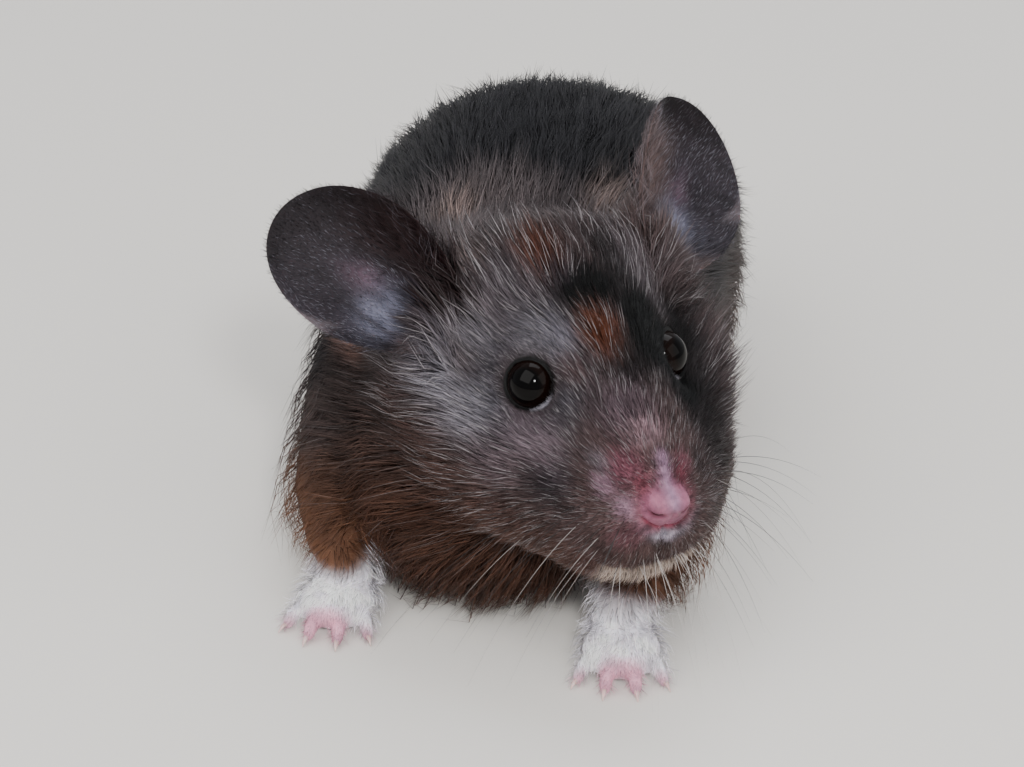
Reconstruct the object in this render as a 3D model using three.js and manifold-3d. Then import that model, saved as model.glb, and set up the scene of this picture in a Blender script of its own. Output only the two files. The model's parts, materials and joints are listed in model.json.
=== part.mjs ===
// A Syrian hamster standing on four feet with its head turned to its left, life size.
// Millimetres, +Z up. The animal faces -Y and its left side is +X. The floor is z = 0.
// The solids hold the whole outline, coat included. Neighbouring pieces keep a thin gap.
import * as THREE from "three";
import { mergeVertices } from "three/addons/utils/BufferGeometryUtils.js";
import Module from "manifold-3d";

// ---------- Driving dimensions ----------
const GAP = 0.3; // clearance between neighbouring pieces
const AROUND = 24; // facets round the head, neck and trunk
const BALL_SEGMENTS = 12;
// Facets round a limb, rings along it and rings in each round end.
const LEG = { around: 12, rings: 5, capRings: 2 };
const THIGH = { around: 14, rings: 3, capRings: 2 };
const ANKLE = { around: 12, rings: 2, capRings: 0 };
const TOE = { around: 6, rings: 3, capRings: 1 };
const CLAW = { around: 4, rings: 2, capRings: 0 };
const SIDES = { left: 1, right: -1 };

// The head's own frame starts midway between the eyes, with -Y forward along the muzzle.
const HEAD = {
  position: [15.3, -19.4, 37.6],
  yaw: 31,
  pitch: 15,
  // Stations from the muzzle's front to the cut at the neck, with the sizes there.
  y: [-21.4, -17.5, -13, -8, -2, 5, 12, 17],
  halfWidth: [5.4, 6.9, 8.3, 9.6, 11.2, 13.4, 15.9, 17.2],
  cheek: [2.4, 5.6, 8.6, 11.0, 11.6, 9.8, 6.6, 5.0],
  top: [-1.2, 0.4, 2.4, 4.9, 7.4, 9.6, 10.9, 11.3],
  bottom: [-18.0, -20.0, -21.0, -22.0, -22.8, -23.0, -22.4, -21.6],
  muzzleRound: 3.8, // depth of the blunt front
  cheekAngle: -36, // where a cheek is fullest, in degrees above the section's middle
  cheekSpread: 42,
  rings: 16,
};
const EYE = { position: [9.4, 0.3, -0.4], radius: 3.05, segments: 12 };
const NOSE = { position: [0, -20.7, -4.6], size: [3.3, 2.2, 2.5] };
const EAR = {
  // The middle of each root and each tip. The ears are held a little differently.
  left: { base: [16.4, 17.4, 4.0], tip: [28.4, 34.4, 9.4] },
  right: { base: [-17.8, 17.4, -0.2], tip: [-30.2, 34.0, 4.4] },
  facing: [0.41, -0.51, 0.74], // the way the left one's hollow side looks
  buried: 8.0, // how far the root runs on into the head
  // Half widths from the buried root to the tip, before the outline rounds them off.
  halfWidth: [6.3, 8.8, 10.2, 10.3, 10.0],
  rimPull: 0.12, // how far the rims curl inwards, as a share of the width
  thickness: 0.9,
  // How far the rims stand in front of the middle, from the root to the tip.
  cup: [5.1, 4.2, 3.3, 2.4, 1.5],
  bow: 2.2, // how far the middle line bows forward at both ends
  rings: 5,
  around: 20,
};

// The trunk runs along Y, from the cut at the neck to the rump, bending a little to the left.
const TRUNK = {
  y: [8, 20, 34, 48, 60, 70, 81],
  middle: [0.6, 1.2, 1.8, 2.2, 2.6, 2.8, 3.0],
  halfWidth: [24.4, 26.2, 27.2, 27.2, 26.4, 25.0, 23.0],
  top: [44.0, 45.2, 46.2, 46.2, 45.0, 43.0, 39.5],
  bottom: [5.6, 5.2, 5.0, 5.0, 5.4, 6.4, 8.0],
  rumpRound: 27, // length over which the rump closes
  fullness: 0.96, // below 1 the section is a little fuller than an ellipse
  rings: 14,
};
const CHEST = { centre: [0.5, -3.6, 16.2], size: [21.5, 22.8, 14.4], segments: 14 };
const NECK = { rings: 6, pullHead: 14, pullTrunk: 11 };

const FORE = {
  left: { wrist: [19.2, -26.6, 5.6], elbow: [24.0, -7.5, 14.5], shoulder: [17.0, 6, 24], toeYaw: 4 },
  right: { wrist: [-18.0, -19.2, 5.6], elbow: [-21.8, -0.5, 14.5], shoulder: [-16.5, 11, 24], toeYaw: -8 },
  forearm: 0.4, // where the forearm is thickest, as a share of the way to the elbow
  radii: { wrist: 4.4, forearm: 5.8, elbow: 8.0, shoulder: 10.8 },
};
const HIND = {
  middle: 2.2, // the rump's shift to the left, as the trunk bends
  hip: [15.0, 60, 21],
  knee: [19.2, 44, 16],
  heel: [18.4, 60.8, 6.2],
  radii: { hip: 14, knee: 10.5, shank: 9.0, heel: 5.0 },
  toeYaw: 6,
};
// A foot's toes point along -Y in its own frame, from under the wrist or heel.
// Each toe has its root on the palm and the way it points, in degrees outwards.
const FOREFOOT = {
  palm: { centre: [0, -3.2, 2.6], size: [5.4, 5.4, 3.3] },
  ankleRadius: 4.4,
  instepRadius: 2.9,
  toeLength: 3.6,
  toeRadius: 1.25,
  toes: [
    { x: -4.0, y: -5.0, spread: -30 },
    { x: -1.5, y: -6.8, spread: -9 },
    { x: 1.5, y: -6.8, spread: 9 },
    { x: 4.0, y: -5.0, spread: 30 },
  ],
  clawLength: 1.5,
  height: 6.0, // where the leg is cut from the foot
};
const HINDFOOT = {
  palm: { centre: [0, -7.6, 2.4], size: [4.2, 8.8, 3.0] },
  ankleRadius: 4.6,
  instepRadius: 2.6,
  toeLength: 4.8,
  toeRadius: 1.1,
  toes: [
    { x: -3.4, y: -12.2, spread: -30 },
    { x: -1.9, y: -14.6, spread: -13 },
    { x: 0, y: -15.4, spread: 0 },
    { x: 1.9, y: -14.6, spread: 13 },
    { x: 3.4, y: -12.2, spread: 30 },
  ],
  clawLength: 1.8,
  height: 5.8,
};
// Heights and radii along every toe and claw.
const TOE_SHAPE = { rootBack: 1.4, heights: [1.7, 1.75, 0.95], rootRadius: 1.2, tipRadius: 0.95 };
const CLAW_SHAPE = { rootBack: 1.2, heights: [1.2, 1.3, 0.55], radii: [0.5, 0.42, 0.27] };
const TAIL = { points: [[3, 71, 17], [3.4, 80, 14.8], [4.2, 86.6, 12]], radii: [3.4, 2.6, 1.2] };

const LOOKS = {
  coat: { color: 0x2e2a2b, roughness: 0.75, metalness: 0 },
  lightCoat: { color: 0x4a362c, roughness: 0.8, metalness: 0 },
  ear: { color: 0x3c363b, roughness: 0.6, metalness: 0 },
  nose: { color: 0xa37f93, roughness: 0.45, metalness: 0 },
  foot: { color: 0xcbb9c0, roughness: 0.6, metalness: 0 },
  eye: { color: 0x0b0909, roughness: 0.06, metalness: 0 },
};

// ---------- Solids ----------
const wasm = await Module();
wasm.setup();

// A closed geometry, moved by a matrix, as a solid that can be joined and cut.
function solidOf(geometry, matrix = new THREE.Matrix4()) {
  const bare = geometry.clone().applyMatrix4(matrix);
  bare.deleteAttribute("normal");
  bare.deleteAttribute("uv");
  const merged = mergeVertices(bare);
  const vertProperties = merged.attributes.position.array;
  const triVerts = new Uint32Array(merged.index.array);
  return new wasm.Manifold(new wasm.Mesh({ numProp: 3, vertProperties, triVerts }));
}

function geometryOf(solid) {
  const { vertProperties, triVerts } = solid.getMesh();
  return new THREE.BufferGeometry()
    .setAttribute("position", new THREE.BufferAttribute(vertProperties, 3))
    .setIndex(new THREE.BufferAttribute(triVerts, 1))
    .toNonIndexed();
}

const cutAll = (solid, cutters) => cutters.reduce((left, cutter) => left.subtract(cutter), solid);
const joinAll = (solids) => solids.reduce((whole, solid) => whole.add(solid));

// Cuts can leave loose slivers. The largest body is the piece.
const largestOf = (solid) =>
  solid.decompose().reduce((largest, body) => (body.volume() > largest.volume() ? body : largest));

// ---------- Skins over rings ----------
const lastOf = (list) => list[list.length - 1];
const listOf = (count, make) => Array.from({ length: count }, (_, i) => make(i));
const radians = THREE.MathUtils.degToRad;

// The centre of a ring of points.
const middleOf = (ring) =>
  ring.reduce((sum, point) => sum.add(point), new THREE.Vector3()).divideScalar(ring.length);

// A closed skin over rings of points. Each end closes on one point.
function skinOver(rings, firstPoint, lastPoint) {
  const around = rings[0].length;
  const points = [firstPoint, ...rings.flat(), lastPoint];
  const last = points.length - 1;
  const at = (ring, i) => 1 + ring * around + (i % around);
  const faces = [];
  for (let i = 0; i < around; i++) {
    faces.push(0, at(0, i + 1), at(0, i));
    faces.push(last, at(rings.length - 1, i), at(rings.length - 1, i + 1));
    for (let ring = 0; ring + 1 < rings.length; ring++) {
      faces.push(at(ring, i), at(ring, i + 1), at(ring + 1, i + 1));
      faces.push(at(ring, i), at(ring + 1, i + 1), at(ring + 1, i));
    }
  }
  return new THREE.BufferGeometry().setFromPoints(points).setIndex(faces);
}

// A smooth curve through values given at places, held level beyond the last ones.
function profile(places, values) {
  const spline = new THREE.CubicInterpolant(places, values, 1);
  return (place) => spline.evaluate(THREE.MathUtils.clamp(place, places[0], lastOf(places)))[0];
}
const evenProfile = (values) => profile(values.map((_, i) => i / (values.length - 1)), values);
const profilesOf = (shape, keys) =>
  Object.fromEntries(keys.map((key) => [key, profile(shape.y, shape[key])]));

// How much of its full size a rounded end has at a distance from its tip.
const rounding = (distance, depth) =>
  distance >= depth ? 1 : Math.sqrt(Math.max(0, 1 - ((depth - distance) / depth) ** 2));

// Places from a rounded end to a cut, closest together at the end.
function closingPlaces(end, cut, count) {
  const firstStep = 0.35;
  const turn = (i) => ((i + firstStep) / (count - 1 + firstStep)) * (Math.PI / 2);
  return listOf(count, (i) => end + (cut - end) * (1 - Math.cos(turn(i))));
}

// A limb along a smooth line through points, with a radius at each. Both ends are round.
function limb(points, radii, { around, rings, capRings }, grow = 0) {
  const curve = new THREE.CatmullRomCurve3(points.map((point) => new THREE.Vector3(...point)));
  const radiusAt = evenProfile(radii);
  const { normals, binormals, tangents } = curve.computeFrenetFrames(rings - 1, false);
  const ringAt = (centre, frame, radius) =>
    listOf(around, (i) => {
      const angle = (2 * Math.PI * i) / around;
      return centre
        .clone()
        .addScaledVector(normals[frame], radius * Math.cos(angle))
        .addScaledVector(binormals[frame], radius * Math.sin(angle));
    });
  const roundEnd = (end, frame, sign) => {
    const radius = radiusAt(end) + grow;
    const outwards = (distance) => curve.getPoint(end).addScaledVector(tangents[frame], sign * distance);
    const capRing = (i) => {
      const turn = ((i + 1) / (capRings + 1)) * (Math.PI / 2);
      return ringAt(outwards(radius * Math.sin(turn)), frame, radius * Math.cos(turn));
    };
    return { rings: listOf(capRings, capRing), tip: outwards(radius) };
  };
  const body = listOf(rings, (i) => {
    const share = i / (rings - 1);
    return ringAt(curve.getPoint(share), i, radiusAt(share) + grow);
  });
  const start = roundEnd(0, 0, -1);
  const finish = roundEnd(1, rings - 1, 1);
  return skinOver([...start.rings.reverse(), ...body, ...finish.rings], start.tip, finish.tip);
}

// A ball with three half sizes.
function ball(centre, size, grow = 0, segments = BALL_SEGMENTS) {
  return new THREE.SphereGeometry(1, segments, Math.round(segments / 1.6))
    .scale(size[0] + grow, size[1] + grow, size[2] + grow)
    .translate(...centre);
}

// ---------- Head, neck and trunk ----------
const headAt = profilesOf(HEAD, ["halfWidth", "cheek", "top", "bottom"]);
const trunkAt = profilesOf(TRUNK, ["middle", "halfWidth", "top", "bottom"]);

// The head's section at y: an ellipse with a cheek swelling low on each side.
function headRing(y, grow = 0) {
  const round = rounding(y - HEAD.y[0], HEAD.muzzleRound);
  const middle = (headAt.top(y) + headAt.bottom(y)) / 2;
  const height = (headAt.top(y) - middle) * round + grow;
  return listOf(AROUND, (i) => {
    const angle = (-2 * Math.PI * i) / AROUND;
    const elevation = THREE.MathUtils.radToDeg(Math.asin(Math.sin(angle)));
    const swelling = Math.exp(-(((elevation - HEAD.cheekAngle) / HEAD.cheekSpread) ** 2));
    const width = (headAt.halfWidth(y) + headAt.cheek(y) * swelling) * round + grow;
    return new THREE.Vector3(width * Math.cos(angle), y, middle + height * Math.sin(angle));
  });
}

function headSkin(grow = 0) {
  const front = HEAD.y[0];
  const cut = lastOf(HEAD.y) - GAP / 2 + grow;
  const rings = closingPlaces(front, cut, HEAD.rings).map((y) => headRing(y, grow));
  const tip = new THREE.Vector3(0, front - grow, (headAt.top(front) + headAt.bottom(front)) / 2);
  return skinOver(rings, tip, middleOf(lastOf(rings)));
}

function trunkRing(y, grow = 0) {
  const round = rounding(lastOf(TRUNK.y) - y, TRUNK.rumpRound);
  const middle = (trunkAt.top(y) + trunkAt.bottom(y)) / 2;
  const width = trunkAt.halfWidth(y) * round + grow;
  const height = (trunkAt.top(y) - middle) * round + grow;
  const fuller = (value) => Math.sign(value) * Math.abs(value) ** TRUNK.fullness;
  return listOf(AROUND, (i) => {
    const angle = (-2 * Math.PI * i) / AROUND;
    const x = trunkAt.middle(y) + width * fuller(Math.cos(angle));
    return new THREE.Vector3(x, y, middle + height * fuller(Math.sin(angle)));
  });
}

function trunkSkin() {
  const rump = lastOf(TRUNK.y);
  const places = closingPlaces(rump, TRUNK.y[0] + GAP / 2, TRUNK.rings).reverse();
  const rings = places.map((y) => trunkRing(y));
  const height = (trunkAt.top(rump) + trunkAt.bottom(rump)) / 2;
  return skinOver(rings, middleOf(rings[0]), new THREE.Vector3(trunkAt.middle(rump), rump, height));
}

const chestBall = (grow) => ball(CHEST.centre, CHEST.size, grow, CHEST.segments);

// The neck runs from the head's last ring to the trunk's first, bending with the head's turn.
function neckSkin(headMatrix, grow = 0) {
  const backwards = new THREE.Vector3(0, 1, 0);
  const headBack = backwards.clone().transformDirection(headMatrix);
  const from = headRing(lastOf(HEAD.y) + GAP / 2, grow).map((point) => point.applyMatrix4(headMatrix));
  const to = trunkRing(TRUNK.y[0] - GAP / 2, grow);
  const rings = listOf(NECK.rings, (ring) => {
    const t = ring / (NECK.rings - 1);
    const arrived = t * t * (3 - 2 * t);
    return from.map((start, i) => {
      // The long way round the outside of the bend pulls harder than the short way inside it.
      const reach = start.distanceTo(to[i]) / (NECK.pullHead + NECK.pullTrunk);
      return start
        .clone()
        .lerp(to[i], arrived)
        .addScaledVector(headBack, t * (1 - t) ** 2 * NECK.pullHead * reach)
        .addScaledVector(backwards, -(t ** 2) * (1 - t) * NECK.pullTrunk * reach);
    });
  });
  return skinOver(rings, middleOf(rings[0]), middleOf(lastOf(rings)));
}

// ---------- Ears ----------
const earWidthAt = evenProfile(EAR.halfWidth);
const earCupAt = evenProfile(EAR.cup);

// A thin hollow leaf. Its frame has +Z from root to tip and -Y the way it faces.
function earLeaf(length) {
  // A point of the front or back sheet. Reach is 0 at the leaf's middle and 1 at its rim.
  const surfacePoint = (reach, angle, sheet) => {
    const across = Math.cos(angle) * reach;
    const share = (1 + Math.sin(angle) * reach) / 2;
    const rim = across ** 2;
    const x = across * earWidthAt(share) * (1 - EAR.rimPull * rim);
    const forward = earCupAt(share) * rim + EAR.bow * (share - 0.5) ** 2;
    const half = (EAR.thickness / 2) * Math.sqrt(1 - reach ** 6);
    return new THREE.Vector3(x, sheet * half - forward, (length + EAR.buried) * share - EAR.buried);
  };
  const ringAt = (reach, sheet) =>
    listOf(EAR.around, (i) => surfacePoint(reach, (-2 * Math.PI * i) / EAR.around, sheet));
  const reaches = listOf(EAR.rings, (i) => Math.sin(((i + 1) / EAR.rings) * (Math.PI / 2)));
  const inner = reaches.slice(0, -1);
  const front = inner.map((reach) => ringAt(reach, -1));
  const back = inner.map((reach) => ringAt(reach, 1)).reverse();
  return skinOver([...front, ringAt(1, 0), ...back], surfacePoint(0, 0, -1), surfacePoint(0, 0, 1));
}

// The group that carries one ear from its root, and the ear's length.
function earStand(name) {
  const [base, tip] = [EAR[name].base, EAR[name].tip].map((point) => new THREE.Vector3(...point));
  const facing = new THREE.Vector3(...EAR.facing).multiply(new THREE.Vector3(SIDES[name], 1, 1));
  const up = tip.clone().sub(base).normalize();
  const across = up.clone().cross(facing).normalize();
  const back = up.clone().cross(across);
  const group = new THREE.Group();
  group.position.copy(base);
  group.quaternion.setFromRotationMatrix(new THREE.Matrix4().makeBasis(across, back, up));
  return { group, length: tip.distanceTo(base) };
}

// ---------- Legs and feet ----------
const mirrored = ([x, y, z], side, middle = 0) => [x * side + middle, y, z];

function forelegSolid({ wrist, elbow, shoulder }, grow = 0) {
  const forearm = wrist.map((value, i) => THREE.MathUtils.lerp(value, elbow[i], FORE.forearm));
  const radii = [FORE.radii.wrist, FORE.radii.forearm, FORE.radii.elbow, FORE.radii.shoulder];
  return solidOf(limb([wrist, forearm, elbow, shoulder], radii, LEG, grow));
}

function hindlegSolid(side, grow = 0) {
  const [hip, knee, heel] = [HIND.hip, HIND.knee, HIND.heel].map((p) => mirrored(p, side, HIND.middle));
  const thigh = limb([hip, knee], [HIND.radii.hip, HIND.radii.knee], THIGH, grow);
  const shank = limb([knee, heel], [HIND.radii.shank, HIND.radii.heel], LEG, grow);
  return solidOf(thigh).add(solidOf(shank));
}

// Three points along a toe or claw, at distances from the toe's root.
function alongToe(toe, distances, heights) {
  const angle = radians(toe.spread);
  const pointAt = (distance, i) => [
    toe.x + Math.sin(angle) * distance,
    toe.y - Math.cos(angle) * distance,
    heights[i],
  ];
  return distances.map(pointAt);
}

// A foot with a flat sole. Its top is cut level, where the leg stands on it.
function footSolid(foot, matrix, grow = 0) {
  const { palm, toeLength, clawLength, height } = foot;
  const instep = [0, palm.centre[1] / 2, palm.centre[2]];
  const shapes = [
    ball(palm.centre, palm.size, grow),
    limb([[0, 0, height], instep], [foot.ankleRadius, foot.instepRadius], ANKLE, grow),
  ];
  const toeRadii = [TOE_SHAPE.rootRadius, foot.toeRadius, TOE_SHAPE.tipRadius];
  const toePlaces = [-TOE_SHAPE.rootBack, toeLength / 2, toeLength - TOE_SHAPE.tipRadius];
  const clawRoot = toeLength - CLAW_SHAPE.rootBack;
  const clawPlaces = [clawRoot, clawRoot + 1, clawRoot + clawLength];
  for (const toe of foot.toes) {
    shapes.push(limb(alongToe(toe, toePlaces, TOE_SHAPE.heights), toeRadii, TOE, grow));
    shapes.push(limb(alongToe(toe, clawPlaces, CLAW_SHAPE.heights), CLAW_SHAPE.radii, CLAW, grow));
  }
  return joinAll(shapes.map((shape) => solidOf(shape)))
    .trimByPlane([0, 0, 1], -grow)
    .trimByPlane([0, 0, -1], GAP / 2 - height - grow)
    .transform(matrix.elements);
}

const aboveFoot = (leg, foot) => leg.trimByPlane([0, 0, 1], foot.height + GAP / 2);

function footGroup([x, y], yaw) {
  const group = new THREE.Group();
  group.position.set(x, y, 0);
  group.rotation.z = radians(yaw);
  return group;
}

// ---------- The animal ----------
const hamster = new THREE.Group();
const worldOf = (group) => {
  group.updateWorldMatrix(true, false);
  return group.matrixWorld;
};

// Solids are made where they stand, then moved into their group's own frame.
function addPart(name, solid, group, look) {
  const geometry = geometryOf(solid).applyMatrix4(worldOf(group).clone().invert());
  const mesh = new THREE.Mesh(geometry, new THREE.MeshStandardMaterial(LOOKS[look]));
  mesh.name = name;
  group.add(mesh);
}

const headGroup = new THREE.Group();
headGroup.position.set(...HEAD.position);
headGroup.rotation.set(radians(HEAD.pitch), 0, radians(HEAD.yaw), "ZXY");
hamster.add(headGroup);
const headMatrix = worldOf(headGroup);
const headGrown = solidOf(headSkin(GAP), headMatrix);
const neckGrown = solidOf(neckSkin(headMatrix, GAP));

// The legs, with the spaces that the trunk and neck leave for them.
const legRoom = [];
for (const [name, side] of Object.entries(SIDES)) {
  const foreGroup = footGroup(FORE[name].wrist, FORE[name].toeYaw);
  const hindGroup = footGroup(mirrored(HIND.heel, side, HIND.middle), HIND.toeYaw * side);
  hamster.add(foreGroup, hindGroup);
  addPart(`forefoot_${name}`, footSolid(FOREFOOT, worldOf(foreGroup)), foreGroup, "foot");
  addPart(`hindfoot_${name}`, footSolid(HINDFOOT, worldOf(hindGroup)), hindGroup, "foot");
  const foreleg = aboveFoot(forelegSolid(FORE[name]), FOREFOOT).subtract(headGrown);
  addPart(`foreleg_${name}`, foreleg, hamster, "lightCoat");
  addPart(`hindleg_${name}`, aboveFoot(hindlegSolid(side), HINDFOOT), hamster, "coat");
  legRoom.push(forelegSolid(FORE[name], GAP), hindlegSolid(side, GAP));
  legRoom.push(footSolid(FOREFOOT, worldOf(foreGroup), GAP), footSolid(HINDFOOT, worldOf(hindGroup), GAP));
}

addPart("tail", solidOf(limb(TAIL.points, TAIL.radii, LEG)), hamster, "foot");
const tailRoom = solidOf(limb(TAIL.points, TAIL.radii, LEG, GAP));
const trunk = solidOf(trunkSkin()).add(solidOf(chestBall(0)));
addPart("trunk", cutAll(trunk, [headGrown, tailRoom, ...legRoom]), hamster, "coat");
const neck = cutAll(solidOf(neckSkin(headMatrix)), [headGrown, solidOf(chestBall(GAP)), ...legRoom]);
addPart("neck", largestOf(neck), hamster, "coat");

// The head, with sockets for the nose and eyes. The ears stand on it.
const noseSolid = (grow) => solidOf(ball(NOSE.position, NOSE.size, grow), headMatrix);
addPart("nose", noseSolid(0), headGroup, "nose");
const sockets = [noseSolid(GAP)];
for (const [name, side] of Object.entries(SIDES)) {
  const size = Array(3).fill(EYE.radius);
  const eyeSolid = (grow) =>
    solidOf(ball(mirrored(EYE.position, side), size, grow, EYE.segments), headMatrix);
  addPart(`eye_${name}`, eyeSolid(0), headGroup, "eye");
  sockets.push(eyeSolid(GAP));
  const { group, length } = earStand(name);
  headGroup.add(group);
  const ear = cutAll(solidOf(earLeaf(length), worldOf(group)), [headGrown, neckGrown]);
  addPart(`ear_${name}`, ear, group, "ear");
}
addPart("head", cutAll(solidOf(headSkin(), headMatrix), sockets), headGroup, "coat");

// The part's origin is on the floor, under the middle of the whole animal.
const extent = new THREE.Box3().setFromObject(hamster, true);
hamster.position.set(-(extent.min.x + extent.max.x) / 2, -(extent.min.y + extent.max.y) / 2, 0);
const root = new THREE.Group();
root.add(hamster);

export default root;
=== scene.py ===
"""A dark Syrian hamster, life size, as a museum shows it.

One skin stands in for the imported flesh, and solid tufts lie over it. Eyes, claws and whiskers are
pieces of their own. Metres, +Z up. The animal faces -Y, and its left side is +X.
"""

import json
import math

import bmesh
import bpy
import numpy as np
from mathutils import Matrix, Vector
from mathutils.bvhtree import BVHTree
from mathutils.kdtree import KDTree


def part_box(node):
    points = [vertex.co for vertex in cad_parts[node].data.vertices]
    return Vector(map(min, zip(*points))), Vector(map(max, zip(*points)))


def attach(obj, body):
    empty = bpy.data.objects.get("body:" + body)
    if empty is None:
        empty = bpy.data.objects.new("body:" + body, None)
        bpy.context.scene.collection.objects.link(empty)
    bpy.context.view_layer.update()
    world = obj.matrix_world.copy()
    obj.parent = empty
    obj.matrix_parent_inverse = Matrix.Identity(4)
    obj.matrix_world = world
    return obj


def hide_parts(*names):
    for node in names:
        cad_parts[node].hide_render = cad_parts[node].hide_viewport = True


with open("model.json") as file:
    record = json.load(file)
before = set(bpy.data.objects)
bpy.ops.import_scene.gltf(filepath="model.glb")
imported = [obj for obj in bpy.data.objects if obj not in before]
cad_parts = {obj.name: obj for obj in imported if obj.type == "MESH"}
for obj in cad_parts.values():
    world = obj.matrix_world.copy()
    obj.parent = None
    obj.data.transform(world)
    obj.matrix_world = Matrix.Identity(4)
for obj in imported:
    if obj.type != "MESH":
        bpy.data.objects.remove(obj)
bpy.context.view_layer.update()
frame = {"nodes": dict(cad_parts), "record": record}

# ---------- Driving dimensions ----------
MM = 0.001
SIDES = {"left": 1, "right": -1}
# Where each run of random numbers starts.
SEEDS = {"coat": 7, "flank": 8, "ear": 12, "nose": 13, "wander": (17, 18, 19), "whiskers": 57}
SKEW = (0.3, 0.2, 1.0)  # no hair, claw or toe starts along this direction
GAP = 0.3 * MM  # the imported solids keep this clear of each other

# The camera's place, the way it looks and its lens, on a frame of the photograph's shape.
CAMERA = {"place": (39.14, -366.68, 207.14), "azimuth": 6.5, "elevation": 28.0, "lens": 102.66,
          "sensor": 36, "near": 0.01}

# The head's own frame starts between the eyes, with -Y forward along the muzzle. Millimetres.
HEAD_PITCH = math.radians(15)
CAD_EYE = (0, 0.3, -0.4)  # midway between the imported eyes
EYE = {"centre": (9.0, 0.35, -0.65), "radius": 3.25, "axis": (0.72, -0.5, 0.48),
       "depth": 6.0, "grey": {"right": 0.8, "left": 0.2},  # how strong the grey fur round it is
       "iris": 0.66, "pupil": 0.8}  # the brown iris ends and the black pupil starts so far out of the ball
# "fall" is how far the skin falls away outside the lid, and "back" how far back along the axis it moves.
LID = {"opening": 3.05, "thickness": 0.22, "height": 0.12, "inside": -0.6, "blend": (3.4, 5.8),
       "corner": 0.5, "steps": 72, "around": 10, "fall": 0.35, "back": -3.0}
CLAW = {"bury": 0.6, "steps": 8, "height": 0.95, "drop": 0.75, "radius": 0.34, "tip": 0.05,
        "taper": 1.6, "flat": 0.8}
WHISKER = {
    "rows": 4,
    "columns": 5,
    # The first whisker's place and direction, then what each column and each row adds.
    "spots": ((4.4, -18.6, -7.2), (1.2, 1.5, 0), (0, 0, -1.4)),
    "ways": ((0.8, -0.55, 0), (0, 0.24, 0), (0, 0, -0.3)),
    "first": 11.0,
    "longer": 3.6,
    "pale_share": {"right": (0.08, 0.13), "left": (0.1, 0)},  # in the top row, and more in each row
    "spot_scatter": 0.4,
    "way_scatter": 0.14,
    "lengths": (0.75, 1.2),  # from the shortest to the longest, as shares
    "radii": (0.7, 1.1),
    "droops": (0.25, 0.6),
    "bury": 0.4,
    "steps": 12,
    "radius": 0.045,
    "taper": (0.86, 1.3),
    "fit": 0.94,  # the share that each cut leaves of a hair that is too long
    "shortest": 2,
    "pale": 0.4,
    "dark": 0.0,
    "room": (41.8 * MM, -75.5 * MM, 0.6 * MM),
    "brow": (((8.0, -1.5, 6.5), (0.25, 0.5, 1.0)), ((9.0, 1.0, 6.3), (0.4, 0.9, 0.8)),
             ((14.5, -6.0, -4.0), (1.0, 0.5, -0.2))),
}
CHIN_HAIR = {"count": 18, "across": (-7.5, 6.5), "front": -19.5, "above": (0.6, 3.0), "lengths": (6, 13),
             "droops": (0.5, 1.3), "radii": (0.55, 0.85), "shade": 0.8}
NOSE_TIP = (0, -22.6, -4.6)
NOSTRIL = (1.9, -22.0, -4.7)
NOSE_HOLLOW = (2.7, -18.6, -2.4)
NOSE_EDGE = {"height": -8.2, "middle": 0.8, "rise": 0.14}  # the crease under the nose, lowest at its middle
MOUTH = {"height": -15.7, "rise": 0.031}
GROOVES = {"lip": (0.55, 0.42), "mouth": (0.9, 0.5), "nose": (0.5, 0.38)}  # depth and width
# Swellings and hollows of the whisker pads and the nose: places across and up, stretches across and up,
# width and rise.
PAD_FORM = (4.6, -10.8, 1.0, 0.85, 3.6, 0.9)
NOSE_FORMS = ((1.8, -3.7, 1.0, 1.0, 1.2, 0.4), (3.2, -4.2, 1.0, 0.6, 0.5, -0.4),
              (0, -2.4, 0.8, 1.0, 1.8, -0.55))
EAR = {
    "left": {"base": (16.4, 17.4, 4.0), "tip": (28.4, 34.4, 9.4)},
    "right": {"base": (-17.8, 17.4, -0.2), "tip": (-30.4, 34.3, 4.5)},
    "facing": (0.41, -0.51, 0.74),
    "buried": 8.0,
    "fan": 5,
    "half_width": (6.3, 8.9, 10.4, 10.5, 10.2),
    "cup": (5.1, 4.2, 3.3, 2.4, 1.5),
    "rim_pull": 0.12,
    "bow": 2.2,
    "curl": 1.3,  # how far the inner edge curls forward, past these shares across and up
    "curl_across": (0.35, 1.0),
    "curl_up": (0.3, 0.6),
    "roll": 0.5,  # the same for the rim
    "roll_from": 0.84,
    # Folds: place across, lean, width, share where each fades out below, and depth.
    "folds": ((-0.3, 0.5, 0.12, 0.35, 0.8), (0.28, -0.1, 0.1, 0.3, 0.5)),
    "fold_top": 0.8,
    "thickness": 0.6,
    "root_centre": (0, 0.4, -4.0),
    "root_size": (5.6, 2.6, 9.0),
    "around": 96,
    "rings": 20,
}
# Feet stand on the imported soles, toes along -Y in their own frame, from under the wrist or heel.
FOOT = {
    "fore": {"palm": (0, -3.2, 2.6), "size": (5.2, 5.2, 3.2), "ankle": 4.3, "height": 6.0,
             "toe_length": 3.7, "toe_radius": 1.2, "claw": 0.9,
             "toes": ((-4.0, -5.0, -30), (-1.5, -6.8, -9), (1.5, -6.8, 9), (4.0, -5.0, 30))},
    "hind": {"palm": (0, -7.6, 2.4), "size": (4.0, 8.6, 2.9), "ankle": 4.5, "height": 5.8,
             "toe_length": 4.9, "toe_radius": 1.1, "claw": 1.2,
             "toes": ((-3.4, -12.2, -30), (-1.9, -14.6, -13), (0, -15.4, 0), (1.9, -14.6, 13),
                      (3.4, -12.2, 30))},
}
TOE = {"start": -1.6, "knuckle": 0.45, "end": 0.9, "heights": (2.0, 1.9, 0.95), "root_radius": 1.25,
       "knuckle_shares": (0.98, 0.9), "tip_radius": 0.92}
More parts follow.
